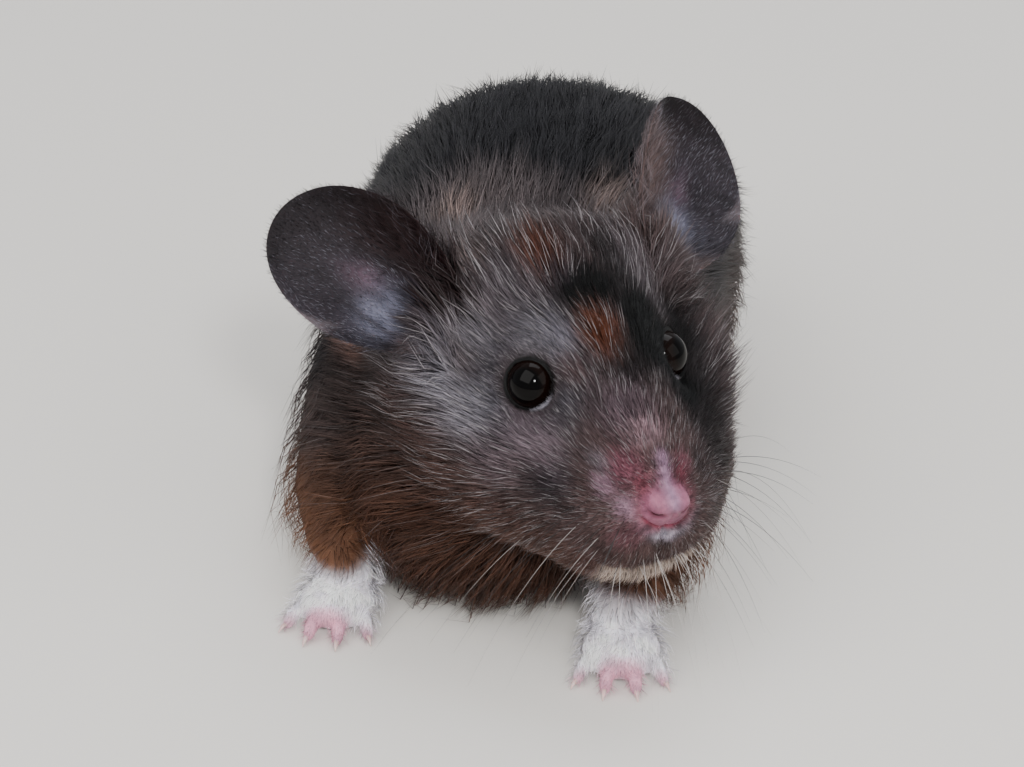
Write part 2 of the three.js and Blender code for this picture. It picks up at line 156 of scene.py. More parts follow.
# How much slimmer a palm is than in FOOT, how much lower its ankle sits and how much thinner that is.
FOOT_SKIN = (0, 1.2, 0.3)
ANKLE_CORE = (0.7, 0.2, 0.5)  # joins a leg to its foot, under the skins of both
LIMB = {"end": 0.12, "fullness": 0.6}  # how far round its end a toe's rings start, and how full the end is
FOOT_YAW = {"forefoot_left": 4, "forefoot_right": -8, "hindfoot_left": 6, "hindfoot_right": -6}
FLESH = [name for name in frame["nodes"] if not name.startswith("eye_")]
GROWN = 1.5 * GAP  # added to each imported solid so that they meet
FINE = ((1.6, 6), (0.4, 3))  # where the face is refined: millimetres round its bare parts, and rounds
FLESH_VOXEL = 0.5 * MM
SKIN_VOXEL = 0.8 * MM
FOOT_VOXEL = 0.4 * MM
FOOT_COAT = 0.15 * MM
# Rounds of smoothing, and the steps in which the skin moves in.
ROUNDS = {"bulk": 20, "soft": 45, "soft_edge": 8, "depth": 10, "normals": 2, "foot": 6, "steps": 4,
          "lie": 14, "length": 10, "lift": 6, "face_edge": 25}

STAGE = {"half": 3.0, "patches": 0.3, "aim": (0.012, -0.03, 0.03), "sky": (0.93, 0.95, 1.0, 1.0),
         "sky_strength": 0.6}
# Lamps: name, azimuth, elevation, distance, size, energy, colour.
LAMPS = (
    ("key", -38, 50, 1.0, 0.9, 6.5, (1.0, 0.98, 0.95)),
    ("fill", 70, 35, 1.0, 0.8, 2.2, (1.0, 0.97, 0.93)),
    ("rim", 170, 60, 0.9, 0.6, 3.6, (0.92, 0.96, 1.0)),
    ("flash", 14, 37, 0.55, 0.065, 1.7, (1.0, 1.0, 1.0)),
)

# The skin's depth under the coat's tips, and the hair's length and lift. Steps are a first number, then
# gain, start and end, by distance from the nose or by height. Spots are place, size and amount.
DEPTH = {
    "from_nose": (0.2, (0.35, 5, 13), (0.5, 13, 27), (0.5, 27, 44)),
    "by_node": {"nose": (0.12,), "tail": (0.4,), "neck": (1.9,), "trunk": (2.1,),
                "foreleg": (0.4, (1.2, 7, 18)), "hindleg": (0.5, (1.5, 8, 18))},
    "eye": 0.45,
    "ear": 0.8,
    "shallow": (((17.5, 4, -6), (6, 8, 7), 0.9),),
    "deep": (((9, 27, 45), (18, 14, 10), 0.9),),
}
LENGTH = {
    "from_nose": (0.7, (1.1, 4, 13), (1.9, 13, 27), (3.0, 27, 42)),
    "by_node": {"neck": (7.0,), "trunk": (8.0,), "tail": (1.3,),
                "foreleg": (3.0, (4.5, 7, 15)), "hindleg": (2.8, (4.8, 8, 17))},
    "by_toe": (2.5, (-1.8, 0, 3)),
    "from_eye": (0.8, (6, 3.4, 13)),
    "behind_eye": 8,
    "ear": 0.75,
    "ear_inner": (2.6, -1.5, -6),  # more towards the inner edge, between these shares of the ear
    "ear_low": (0.7, 0.3),
    "ear_root": (1.5, 0.15, 0),
    "spots": (((-14, 17, 4), (4, 5, 4), 1.6), ((14, 17, 4), (4, 5, 4), 1.6), ((17, 2, -6), (5, 7, 6), 1.8),
              ((-0.6, -13, 2.2), (4.5, 3.5, 3), 1.0)),
}
LIFT = {
    "ear": 1.4,
    "chest": (0.8, -22, -36),  # by the place along the body, between two heights
    "chest_up": (28, 18),
    "low": (0.5, 18, 8),
    "under": (0.9, -0.2, -0.8),  # by how far the skin faces down, between two heights
    "under_up": (16, 11),
    "from_nose": (0.8, (0.4, 12, 34)),
    "cheek": 0.5,  # between these places across, and between these distances from the nose
    "cheek_across": (9, 14),
    "cheek_back": (12, 20),
    "lips": 1.3,
    "lips_up": (1.6, -0.8),
    "spots": (((-10, 24, 4), (5, 7, 6), 0.7), ((10, 24, 4), (5, 7, 6), 0.4), ((17, 3, -6), (6, 8, 6), 1.2),
              ((-17, 2, -6), (5, 7, 6), 0.4), ((-0.6, -13, 2.2), (4.5, 3.5, 3), 0.9)),
}
# The lie of the hair. It sinks along the back, more down the sides and at the rump. From the nose it fans
# out over the face and the ruff, sinking at the jaw. Millimetres from start to end, after any gain.
LIE = {
    "down": 0.12, "sideways": 0.5, "half_width": 25, "rump": (0.9, 36, 58),
    "chest": (0, 0.3, -1.0), "chest_along": (-30, -38), "chest_up": (30, 18),
    "fan": (0, 0.45, 0), "jaw": (-0.25, 2, -12), "ruff": 0.8, "ruff_back": (46, 32), "wander": 0.22,
}
# The way the hair lies on the limbs, and on the feet in their own frames.
WAYS = {"foreleg": (0, -0.15, -1), "hindleg": (0, 0.45, -1), "tail": (0, 1, -0.5)}
FOOT_WAY = (0, -1, -0.3)

# How many tufts each piece of the coat has, and how every tuft is made. Millimetres.
TUFTS = {
    "muzzle": 14500, "crown": 17500, "cheek_left": 14500, "cheek_right": 16000,
    "back": 17000, "flank_left": 12500, "flank_right": 12500, "rump": 12000, "chest": 8000, "belly": 4500,
    "ear_left": 4000, "ear_right": 4000, "forelegs": 3500, "hindlegs": 3500,
    "forefeet": 2500, "hindfeet": 2500,
}
TUFT = {
    "width": (0.055, 0.0135),  # at no length, and more for each millimetre
    "widths": (0.75, 1.25),  # from the narrowest to the widest, as shares
    "lengths": (0.75, 1.2),
    "lifts": (0.35, 1.5),
    "flat": 0.5,
    "taper": (0.9, 1.0),
    "bury": 0.15,
    "short": 1.5,  # a shorter tuft doesn't bend round the skin, and stands up more
    "short_lift": 1.2,
    "joints": ((0.45, 0.45), (1.0, 0.55)),  # each joint's share of the length, and the way on to it
    "arch": 0.8,  # below 1, the middle stands up sooner than the tip
    "follow": 0.6,  # a tuft follows the skin while it is nearer than this share of the length
    "turn": 8.0,  # degrees to either side of the lie
    "lift": 0.3,
    "guards": 0.15,  # the share of longer, finer hairs
    "guard_length": 1.2,
    "guard_width": 0.7,
    "pale": (0.45, 0.2),  # the share of the guard hairs that are pale, on the face and behind it
    "face_paleness": (0.62, (-0.3, 14, 24)),  # how pale they are, less at the crown's back
    "body_paleness": 0.18,
    "per_lock": 10,
    "pull": (0.25, 0.6),
    "free": (0.6, 3.0),  # below the first length a tuft stays out of the locks, from the second it is in
    "bends": ((1, 0.35), (2, 1.0)),  # how much of the pull the middle and the tip take
    "shade": 0.3,
    "shades": (0.45, 1.8),
    "floor": 0.1,
}
EAR_HAIR = {"strengths": (0.1, 0.8), "long": 1.4, "when_long": 0.45}  # how pale the ears' hairs are
FACE = ("muzzle", "crown", "cheek_left", "cheek_right")
# Where each piece of the coat ends: how far up its skin faces, or millimetres along and up.
REGION = {
    "back_faces": 0.62, "belly_faces": -0.5, "rump": 36, "chest": -26, "chest_top": 24, "muzzle": 16,
    "by_node": {"ear_left": "ear_left", "ear_right": "ear_right", "foreleg": "forelegs",
                "hindleg": "hindlegs", "forefoot": "forefeet", "hindfoot": "hindfeet", "tail": "rump"},
}
# The charts for baking: the middles that the head and the body are unrolled round, and the gaps between
# an ear's two faces and between limbs. Edge and patch are shares of the chart.
CHART = {"head": (0, 5, -6), "body": (0, 4, 24), "radius": 25, "ear_gap": 26, "limb_gap": 7,
         "limb_length": 4, "sole_slope": 0.3, "bend": 20, "edge": 0.006, "patch": 0.003}


# ---------- Small maths ----------
def ramp(values, start, end):
    """0 at start, 1 at end, smooth between them."""
    share = np.clip((values - start) / (end - start), 0, 1)
    return share * share * (3 - 2 * share)


def stepped(values, first, *steps):
    """A first number, and what it gains over each stretch of the values: gain, start and end."""
    return first + sum(gain * ramp(values, start, end) for gain, start, end in steps)


def unit(vectors):
    """The same directions, 1 long."""
    return vectors / np.maximum(np.linalg.norm(vectors, axis=-1, keepdims=True), 1e-12)


def along(vectors, others):
    """The share of each vector that lies along another, kept as a column."""
    return (vectors * others).sum(axis=-1, keepdims=True)


def mix(first, second, share):
    """Rows between two others, by each row's share of the second."""
    share = np.asarray(share)[..., None]
    return np.asarray(first) * (1 - share) + np.asarray(second) * share


def colour(red, green, blue):
    """A linear colour from the usual 0 to 255 values."""
    return np.array([(value / 255) ** 2.2 for value in (red, green, blue)])


def ripples(points, size, seed, waves=14):
    """Smooth random values of about -1 to 1 whose lumps are about size across."""
    rng = np.random.default_rng(seed)
    directions = unit(rng.normal(size=(waves, 3))) * (2 * math.pi / size)
    lengths = rng.uniform(0.6, 1.5, (waves, 1))
    phases = rng.uniform(0, 2 * math.pi, waves)
    return np.sin(points @ (directions * lengths).T + phases).sum(axis=1) / math.sqrt(waves)


def spline(values, share):
    """A smooth curve through evenly spaced values, read at shares from 0 to 1."""
    values = np.asarray(values, float)
    slopes = np.gradient(values)
    place = np.clip(share, 0, 1) * (len(values) - 1)
    left = np.minimum(place.astype(int), len(values) - 2)
    t, step = place - left, values[left + 1] - values[left]
    first, last = slopes[left], slopes[left + 1]
    return values[left] + t * first + t * t * (3 * step - 2 * first - last) + t**3 * (first + last - 2 * step)


def bump(distance, width):
    """1 at no distance, falling smoothly to almost 0 at twice the width."""
    return np.exp(-((distance / width) ** 2))


def spot_at(places, centre, size):
    """1 round a place, falling smoothly to 0 at about twice the size."""
    offsets = (places - centre) / np.array(size)
    return np.exp(-((offsets**2).sum(axis=1) ** 1.5))


def spots(places, marks):
    """The sum of several spots, each a place, a size and a strength."""
    return sum(strength * spot_at(places, centre, size) for centre, size, strength in marks)


# Tints of the coat and the bare skin, from 0 to 255.
SHADES = {
    # The low_flank tint is partly the brown of the lower flanks and partly painted warm light from below.
    "back": (37, 36, 39), "nape": (90, 81, 81), "flank": (66, 56, 54), "low_flank": (97, 67, 50),
    # The grey tint is partly grey fur and partly painted sheen.
    "chest": (74, 51, 41), "cheek": (74, 63, 63), "lower_cheek": (86, 63, 56), "grey": (88, 82, 87),
    "rust": (86, 50, 36), "black": (15, 14, 15), "dusk": (52, 47, 52), "pale_grey": (138, 135, 143),
    "lilac": (120, 116, 126), "under_eye": (116, 102, 109), "eye_grey": (74, 72, 78), "lid": (8, 7, 8),
    # The pale tint for the eye's wet rim is a painted highlight, the glint of its moisture.
    "wet_glint": (150, 146, 156), "muzzle": (81, 64, 63), "muzzle_top": (92, 78, 85),
    "muzzle_pale": (138, 113, 119), "far_cheek": (38, 33, 34), "nose_side": (110, 64, 77),
    # The ridge tint is a painted highlight down the nose; the hollow and nostril tints are painted shade.
    "nose": (130, 82, 100), "ridge": (134, 107, 128), "hollow": (82, 42, 50), "nostril": (70, 22, 34),
    # The nose_edge tint is painted shade in the crease under the nose.
    "nose_edge": (128, 50, 68), "lip": (180, 164, 152), "philtrum": (176, 168, 184),
    "mauve": (150, 120, 136), "ear_tan": (94, 78, 76), "tan_tuft": (158, 136, 128),
    "rust_tuft": (134, 102, 92), "paw": (238, 234, 242), "toe": (200, 140, 160), "bare": (150, 120, 118),
    # The darkest ear tint is painted shade at the top of the ear's inner face.
    "ear": (42, 37, 42), "ear_top_shade": (24, 19, 21), "ear_rim": (112, 102, 106), "ear_edge": (48, 43, 47),
    "ear_pale": (116, 117, 136), "ear_lilac": (96, 76, 88), "ear_hair": (160, 158, 170),
    "ear_brown": (32, 20, 20), "pale_hair": (172, 166, 168),
}
TINT = {name: colour(*values) for name, values in SHADES.items()}
# The face's marks: tint, place, size and strength.
HEAD_SPOTS = (
    ("far_cheek", (14.0, -8.0, -6.0), (6.0, 9.0, 7.0), 0.9),
    # The grey marks on the forehead and the near cheek are partly grey fur and partly painted sheen, where
    # light catches the hair.
    ("grey", (-9.5, 8.0, 6.5), (6.5, 7.0, 5.0), 0.8),
    ("grey", (8.0, 9.0, 7.0), (5.0, 6.0, 5.0), 0.5),
    ("rust", (-4.1, 12.4, 10.3), (2.8, 5.0, 5.0), 0.9),
    ("black", (-1.0, 4.6, 9.2), (5.4, 3.2, 3.8), 1.4),
    ("black", (4.0, 9.0, 10.1), (3.2, 6.0, 3.6), 0.9),
    ("black", (5.6, -1.0, 5.8), (4.4, 7.0, 4.8), 1.6),
    ("black", (10.0, -4.0, 0.6), (5.6, 7.4, 6.0), 1.4),
    ("black", (13.5, 3.0, 0.5), (4.0, 6.0, 5.4), 0.95),
    ("black", (0.8, -6.4, 5.4), (3.6, 2.8, 3.0), 0.85),
    ("rust", (-1.6, -1.4, 7.3), (2.5, 3.6, 3.2), 1.2),
    ("dusk", (-11.2, -11.0, -6.4), (3.0, 3.2, 3.2), 0.8),
    ("lilac", (-6.2, 0.6, 6.0), (1.9, 3.6, 2.6), 0.8),
    ("grey", (-17.6, 11.6, -2.6), (3.0, 3.6, 4.0), 1.2),
    ("pale_grey", (-13.8, 8.8, 1.2), (2.8, 3.0, 3.0), 0.5),
    ("pale_grey", (-8.8, 3.8, 5.0), (2.6, 3.0, 2.6), 0.45),
    ("dusk", (-3.8, 8.0, 9.5), (2.6, 2.4, 2.8), 0.8),
    ("eye_grey", (-14.6, 0.4, -3.6), (2.4, 4.4, 2.4), 0.7),
    ("rust", (-6.0, -3.8, 4.0), (1.8, 2.6, 2.4), 0.35),
    ("pale_grey", (-17.8, 8.4, -4.9), (2.6, 3.4, 3.0), 1.1),
    ("pale_grey", (-16.6, 2.4, -5.8), (2.8, 5.0, 3.6), 0.8),
    ("under_eye", (-11.7, -5.8, -4.0), (5.0, 5.0, 2.8), 0.8),
    ("muzzle_top", (-2.6, -11.0, 2.6), (4.4, 4.0, 3.0), 0.8),
    ("muzzle_pale", (-0.6, -14.0, 1.6), (2.6, 1.8, 2.0), 0.8),
    ("nose_side", (-4.4, -16.6, -1.6), (3.0, 3.0, 2.2), 0.75),
    ("lilac", (-7.0, -14.2, -2.2), (1.6, 2.4, 1.4), 0.5),
    ("under_eye", (-14.6, -4.0, -8.5), (3.5, 4.0, 2.6), 0.45),
    ("mauve", (-7.0, -16.2, -4.2), (1.7, 1.8, 1.2), 0.75),
    ("mauve", (-4.8, -19.0, -5.4), (1.5, 1.6, 1.5), 0.8),
    ("nose_side", (-4.4, -19.6, -9.2), (2.6, 2.4, 2.0), 0.45),
    ("nose_side", (3.2, -17.6, -1.6), (1.8, 2.0, 1.8), 0.55),
    ("far_cheek", (6.8, -16.4, -4.2), (2.4, 3.0, 3.0), 0.6),
    ("ear_brown", (-15.6, 17.5, 2.2), (4.2, 5.0, 5.6), 1.3),
    ("ear_brown", (-14.6, 14.2, 3.2), (3.0, 3.4, 3.0), 0.8),
    ("ear_tan", (13.0, 18.0, 8.4), (3.6, 5.0, 4.0), 1.1),
    ("tan_tuft", (-10.0, 24.0, 4.0), (2.2, 7.0, 5.0), 0.9),
    ("tan_tuft", (9.5, 25.0, 4.0), (2.4, 5.0, 5.0), 0.6),
    ("rust_tuft", (-20.8, 25.0, -15.0), (3.0, 6.0, 3.6), 0.8),
    ("rust_tuft", (20.8, 25.0, -15.0), (3.0, 6.0, 3.6), 0.5),
)
# Where each ear is palest: millimetres towards its outer edge and share of its length.
EAR_PALE = {"left": (0.8, 0.07), "right": (2.8, 0.12)}
# The marks behind the head, in the part's own frame.
BODY_SPOTS = (
    ("tan_tuft", (-9.5, -13.0, 43.5), (3.0, 5.0, 4.0), 0.8),
    ("tan_tuft", (10.5, -5.0, 43.5), (3.4, 5.4, 4.0), 0.6),
    ("rust_tuft", (-19.5, -29.0, 28.5), (4.0, 5.5, 3.0), 0.9),
    ("rust_tuft", (22.0, -20.0, 28.5), (4.0, 5.0, 3.0), 0.5),
)
# The uneven shade over the whole coat: strength, size and seed.
PATCHES = ((0.14, 9, 9), (0.15, 3.5, 10))


# ---------- Frames ----------
def box_centre(node):
    """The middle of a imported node's box, in metres."""
    low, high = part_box(node)
    return np.array((low + high) / 2)


EYE_BALLS = {side: box_centre(f"eye_{side}") for side in SIDES}
HEAD_LEFT = unit(EYE_BALLS["left"] - EYE_BALLS["right"])
HEAD_BACK = np.cross((0, 0, 1), HEAD_LEFT) * math.cos(HEAD_PITCH) + np.array((0, 0, math.sin(HEAD_PITCH)))
HEAD_AXES = np.stack([HEAD_LEFT, HEAD_BACK, np.cross(HEAD_LEFT, HEAD_BACK)], axis=1)
HEAD_ORIGIN = (EYE_BALLS["left"] + EYE_BALLS["right"]) / 2 - HEAD_AXES @ (np.array(CAD_EYE) * MM)


def in_head(points):
    """Places in the head's own frame, in millimetres."""
    return (points - HEAD_ORIGIN) @ HEAD_AXES / MM


def from_head(places):
    """Places in the head's own frame as points in the part's frame, in metres."""
    return (np.asarray(places, float) * MM) @ HEAD_AXES.T + HEAD_ORIGIN


def nose_distance(places):
    """How far each place in the head's frame lies from the nose's tip, in millimetres."""
    return np.linalg.norm(places - NOSE_TIP, axis=1)


def mirrored(place, side):
    """A place or direction given for the left side, for either side."""
    return np.array(place, float) * (SIDES[side], 1, 1)


# ---------- Meshes and arrays ----------
def mesh_of(name, points, faces):
    """A mesh of triangles from arrays."""
    mesh = bpy.data.meshes.new(name)
    mesh.vertices.add(len(points))
    mesh.vertices.foreach_set("co", np.ascontiguousarray(points, np.float32).ravel())
    mesh.loops.add(faces.size)
    mesh.loops.foreach_set("vertex_index", np.ascontiguousarray(faces, np.int32).ravel())
    mesh.polygons.add(len(faces))
    mesh.polygons.foreach_set("loop_start", np.arange(0, faces.size, 3, dtype=np.int32))
    mesh.polygons.foreach_set("use_smooth", np.ones(len(faces), bool))
    mesh.update(calc_edges=True)
    return mesh


def arrays_of(mesh):
    """A mesh's points, and its faces as triangles."""
    points = np.empty(len(mesh.vertices) * 3, np.float32)
    mesh.vertices.foreach_get("co", points)
    mesh.calc_loop_triangles()
    faces = np.empty(len(mesh.loop_triangles) * 3, np.int32)
    mesh.loop_triangles.foreach_get("vertices", faces)
    return points.reshape(-1, 3).astype(float), faces.reshape(-1, 3)


def joined(parts):
    """Several (points, faces) pairs as one."""
    starts = np.cumsum([0] + [len(points) for points, _ in parts[:-1]])
    points = np.concatenate([points for points, _ in parts])
    return points, np.concatenate([faces + start for (_, faces), start in zip(parts, starts)])


def linked(name, data):
    """A new object in the scene."""
    made = bpy.data.objects.new(name, data)
    bpy.context.collection.objects.link(made)
    return made


def add_piece(name, mesh, material):
    """An object that rides on the body, with its material."""
    piece = linked(name, mesh)
    mesh.materials.append(material)
    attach(piece, "root")
    return piece


def store(mesh, name, values):
    """Keeps one colour or one number for each point, for the materials to read."""
    if values.ndim == 2:
        filled = np.concatenate([values, np.ones((len(values), 1))], axis=1)
        mesh.attributes.new(name, "FLOAT_COLOR", "POINT").data.foreach_set("color", filled.ravel())
    else:
        mesh.attributes.new(name, "FLOAT", "POINT").data.foreach_set("value", values)


def face_normals(points, faces):
    """Each triangle's normal, as long as twice its area."""
    a, b, c = (points[faces[:, i]] for i in range(3))
    return np.cross(b - a, c - a)


def point_normals(points, faces):
    """Each point's normal, averaged over its triangles by their areas."""
    normals = face_normals(points, faces)
    sums = np.zeros_like(points)
    for corner in range(3):
        for axis in range(3):
            sums[:, axis] += np.bincount(faces[:, corner], normals[:, axis], len(points))
    return unit(sums)


def edges_of(faces):
    """Each edge once, as its two points."""
    pairs = np.concatenate([faces[:, [0, 1]], faces[:, [1, 2]], faces[:, [2, 0]]])
    return np.unique(np.sort(pairs, axis=1), axis=0)


def evened(values, edges, rounds, share=0.5):
    """Values that move a share of the way to their neighbours' average in each round."""
    values = values.reshape(len(values), -1).astype(float)
    starts, ends = edges.T
    near = np.maximum(np.bincount(edges.ravel(), minlength=len(values)), 1)
    for _ in range(rounds):
        average = np.empty_like(values)
        for k in range(values.shape[1]):
            sums = np.bincount(starts, values[ends, k], len(values))
            average[:, k] = (sums + np.bincount(ends, values[starts, k], len(values))) / near
        values = values + share * (average - values)
    return values.squeeze()


def smoothed(points, edges, rounds):
    """Points with their small bumps evened out and their bulk kept."""
    inwards, outwards = 0.5, -0.53
    for _ in range(rounds):
        points = evened(evened(points, edges, 1, inwards), edges, 1, outwards)
    return points


def largest_shell(points, faces):
    """Only the outer shell: loose bits and sealed hollows go."""
    label = np.arange(len(points))
    while True:
        lowest = label[faces].min(axis=1)
        new = label.copy()
        for corner in range(3):
            np.minimum.at(new, faces[:, corner], lowest)
        new = new[new]
        if (new == label).all():
            break
        label = new
    kept_label = np.bincount(label[faces[:, 0]]).argmax()
    faces = faces[label[faces[:, 0]] == kept_label]
    used = np.unique(faces)
    renumber = np.zeros(len(points), np.int64)
    renumber[used] = np.arange(len(used))
    return points[used], renumber[faces]


def skin_over(rings, first, last):
    """A closed skin over rings of points, each end closed on one point."""
    rings = np.asarray(rings)
    count, around = rings.shape[:2]
    points = np.concatenate([[first], rings.reshape(-1, 3), [last]])
    i = np.arange(around)
    j = (i + 1) % around
    faces = [np.stack([np.zeros(around, int), 1 + j, 1 + i], axis=1)]
    for ring in range(count - 1):
        low, high = 1 + ring * around, 1 + (ring + 1) * around
        faces.append(np.stack([low + i, low + j, high + j], axis=1))
        faces.append(np.stack([low + i, high + j, high + i], axis=1))
    low = 1 + (count - 1) * around
    faces.append(np.stack([np.full(around, len(points) - 1), low + i, low + j], axis=1))
    faces = np.concatenate(faces)
    volume = (points[faces[:, 0]] * face_normals(points, faces)).sum()
    return points, faces if volume > 0 else faces[:, ::-1]


def frames_along(centres):
    """Two directions across a line of points, carried along it without twist."""
    steps = unit(np.gradient(centres, axis=0))
    across = np.cross(steps[0], SKEW)
    sides = []
    for step in steps:
        across = across - step * (across @ step)
        across = across / np.linalg.norm(across)
        sides.append(across)
    sides = np.array(sides)
    return sides, np.cross(steps, sides)


def tube(centres, radii, around=8, flat=1.0):
    """A closed limb round a line of points. Below 1, flat thins it one way."""
    centres = np.asarray(centres, float)
    sides, ups = frames_along(centres)
    angles = np.linspace(0, 2 * math.pi, around, endpoint=False)
    wide = np.asarray(radii)[:, None, None] * np.cos(angles)[None, :, None] * sides[:, None, :]
    thick = np.asarray(radii)[:, None, None] * np.sin(angles)[None, :, None] * ups[:, None, :]
    rings = centres[:, None, :] + wide + thick * flat
    return skin_over(rings[:, ::-1], centres[0], centres[-1])


def round_limb(start, end, start_radius, end_radius, around=16, rings=14):
    """A closed limb with round ends, from one ball to another."""
    start, end = np.asarray(start, float), np.asarray(end, float)
    length = np.linalg.norm(end - start)
    step = (end - start) / length
    turn = np.linspace(LIMB["end"], math.pi - LIMB["end"], rings)
    share = (1 - np.cos(turn)) / 2
    radii = (start_radius + (end_radius - start_radius) * share) * np.sin(turn) ** LIMB["fullness"]
    reach = -start_radius + (length + start_radius + end_radius) * share
    centres = start + step * reach[:, None]
    return tube(centres, radii, around)


def ball(centre, size, around=28, rings=18):
    """An ellipsoid."""
    turn = np.linspace(0, math.pi, rings + 2)[1:-1]
    angles = np.linspace(0, 2 * math.pi, around, endpoint=False)
    level = np.outer(np.cos(turn), np.ones(around))
    wide, deep = np.outer(np.sin(turn), np.cos(angles)), np.outer(np.sin(turn), np.sin(angles))
    centre = np.array(centre, float)
    rings = centre + np.stack([wide, deep, level], axis=-1)[::-1] * np.array(size)
    up = np.array((0, 0, size[2]))
    return skin_over(rings, centre - up, centre + up)


# ---------- The shapes that make the skin ----------
def grown(points, faces):
    """A dense closed skin, moved out so that it meets its neighbours."""
    normals = unit(evened(point_normals(points, faces), edges_of(faces), ROUNDS["normals"]))
    return points + normals * GROWN, faces


def packed_flesh(node):
    """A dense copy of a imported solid, grown."""
    return grown(*remeshed(*arrays_of(frame["nodes"][node].data), FLESH_VOXEL))


def ear_frame(side):
    """An ear's root and length, and its directions across, back and up, in the head's frame."""
    base, tip = np.array(EAR[side]["base"]), np.array(EAR[side]["tip"])
    up = unit(tip - base)
    across = unit(np.cross(up, mirrored(EAR["facing"], side)))
    return base, np.linalg.norm(tip - base), np.stack([across, np.cross(up, across), up])


def ear_leaf(side):
    """A thin hollow leaf with a rolled rim and folds that run up from its root."""
    base, length, axes = ear_frame(side)
    angles = np.linspace(0, 2 * math.pi, EAR["around"], endpoint=False)

    def ring(reach, sheet):
        across = np.cos(angles) * reach
        share = (1 + np.sin(angles) * reach) / 2
        rim = across**2
        x = across * spline(EAR["half_width"], share) * (1 - EAR["rim_pull"] * rim)
        forward = spline(EAR["cup"], share) * rim + EAR["bow"] * (share - 0.5) ** 2
        outer = across * SIDES[side]
        folds = sum(depth * bump(outer - place - lean * share, width) * ramp(share, EAR["fold_top"], foot)
                    for place, lean, width, foot, depth in EAR["folds"])
        rolled = EAR["roll"] * ramp(reach, EAR["roll_from"], 1.0)
        curled = EAR["curl"] * ramp(-outer, *EAR["curl_across"]) * ramp(share, *EAR["curl_up"])
        half = EAR["thickness"] / 2 * math.sqrt(max(0.0, 1 - reach**8))
        y = sheet * half - forward - folds - rolled - curled
        z = (length + EAR["buried"]) * share - EAR["buried"]
        return base + np.stack([x, y, z], axis=1) @ axes

    reaches = np.sin(np.arange(1, EAR["rings"] + 1) / EAR["rings"] * math.pi / 2)[:-1]
    rings = [ring(reach, -1) for reach in reaches] + [ring(1.0, 0)]
    rings += [ring(reach, 1) for reach in reaches[::-1]]
    points, faces = skin_over(rings, ring(0.0, -1)[0], ring(0.0, 1)[0])
    return from_head(points), faces


def ear_root(side):
    """The fleshy root that carries an ear."""
    base, _, axes = ear_frame(side)
    points, faces = ball(EAR["root_centre"], EAR["root_size"])
    return from_head(base + points @ axes), faces


def foot_frame(node):
    """A foot's place on the floor, under its wrist or heel, and the way it points."""
    spec = FOOT["fore" if node.startswith("fore") else "hind"]
    yaw = math.radians(FOOT_YAW[node])
    turn = np.array(((math.cos(yaw), -math.sin(yaw), 0), (math.sin(yaw), math.cos(yaw), 0), (0, 0, 1)))
    sole = next(mount for mount in frame["record"]["mounts"] if mount["name"] == f"sole_{node}")
    middle = np.array(sole["pos_m"]) - turn @ (np.array((0, spec["palm"][1], 0)) * MM)
    return spec, turn, middle


def on_foot(node, points):
    """Places in a foot's own frame, in millimetres, as points in the part's frame."""
    _, turn, middle = foot_frame(node)
    return (points * MM) @ turn.T + middle


def toe_line(toe, distances, heights):
    """Points along a toe, at distances from its root."""
    x, y, spread = toe
    angle = math.radians(spread)
    return [(x + math.sin(angle) * d, y - math.cos(angle) * d, h) for d, h in zip(distances, heights)]


def palm_and_ankle(node, slimmer, lower, thinner):
    """A foot's palm and the ankle over it, made smaller and set lower by millimetres."""
    spec, _, _ = foot_frame(node)
    palm = ball(spec["palm"], np.array(spec["size"]) - slimmer)
    ankle = ball((0, 0, spec["height"] - lower), (spec["ankle"] - thinner,) * 3)
    return [(on_foot(node, points), faces) for points, faces in (palm, ankle)]


def foot_shapes(node):
    """The palm, the ankle and the toes of one foot, which overlap."""
    spec, _, _ = foot_frame(node)
    length = spec["toe_length"]
    below, above = (spec["toe_radius"] * share for share in TOE["knuckle_shares"])
    toes = []
    for toe in spec["toes"]:
        distances = (TOE["start"], length * TOE["knuckle"], length - TOE["end"])
        root, knuckle, tip = toe_line(toe, distances, TOE["heights"])
        toes.append(round_limb(root, knuckle, TOE["root_radius"], below))
        toes.append(round_limb(knuckle, tip, above, TOE["tip_radius"]))
    return palm_and_ankle(node, *FOOT_SKIN) + [(on_foot(node, points), faces) for points, faces in toes]


def modified(kind, *shapes, **settings):
    """The outer shell of a shape after a modifier, which may work with a second shape."""
    objects = [linked("shape", mesh_of("shape", *arrays)) for arrays in shapes]
    modifier = objects[0].modifiers.new("modifier", kind)
    for name, value in settings.items():
        setattr(modifier, name, value)
    for other in objects[1:]:
        modifier.object = other
    result = objects[0].evaluated_get(bpy.context.evaluated_depsgraph_get())
    arrays = arrays_of(bpy.data.meshes.new_from_object(result))
    for shape in objects:
        bpy.data.objects.remove(shape)
    return largest_shell(*arrays)


def remeshed(points, faces, voxel):
    """One closed skin round shapes that overlap."""
    return modified("REMESH", (points, faces), mode="VOXEL", voxel_size=voxel)


def united(first, others):
    """One closed skin from closed skins that overlap."""
    return modified("BOOLEAN", first, joined(others), operation="UNION", solver="MANIFOLD")


def refined(points, faces, wanted):
    """Halves the edges whose two ends are wanted."""
    work = bmesh.new()
    work.from_mesh(mesh_of("refined", points, faces))
    edges = [edge for edge in work.edges if all(wanted[end.index] for end in edge.verts)]
    bmesh.ops.subdivide_edges(work, edges=edges, cuts=1, use_grid_fill=True)
    bmesh.ops.triangulate(work, faces=work.faces)
    mesh = bpy.data.meshes.new("refined")
    work.to_mesh(mesh)
    work.free()
    return arrays_of(mesh)


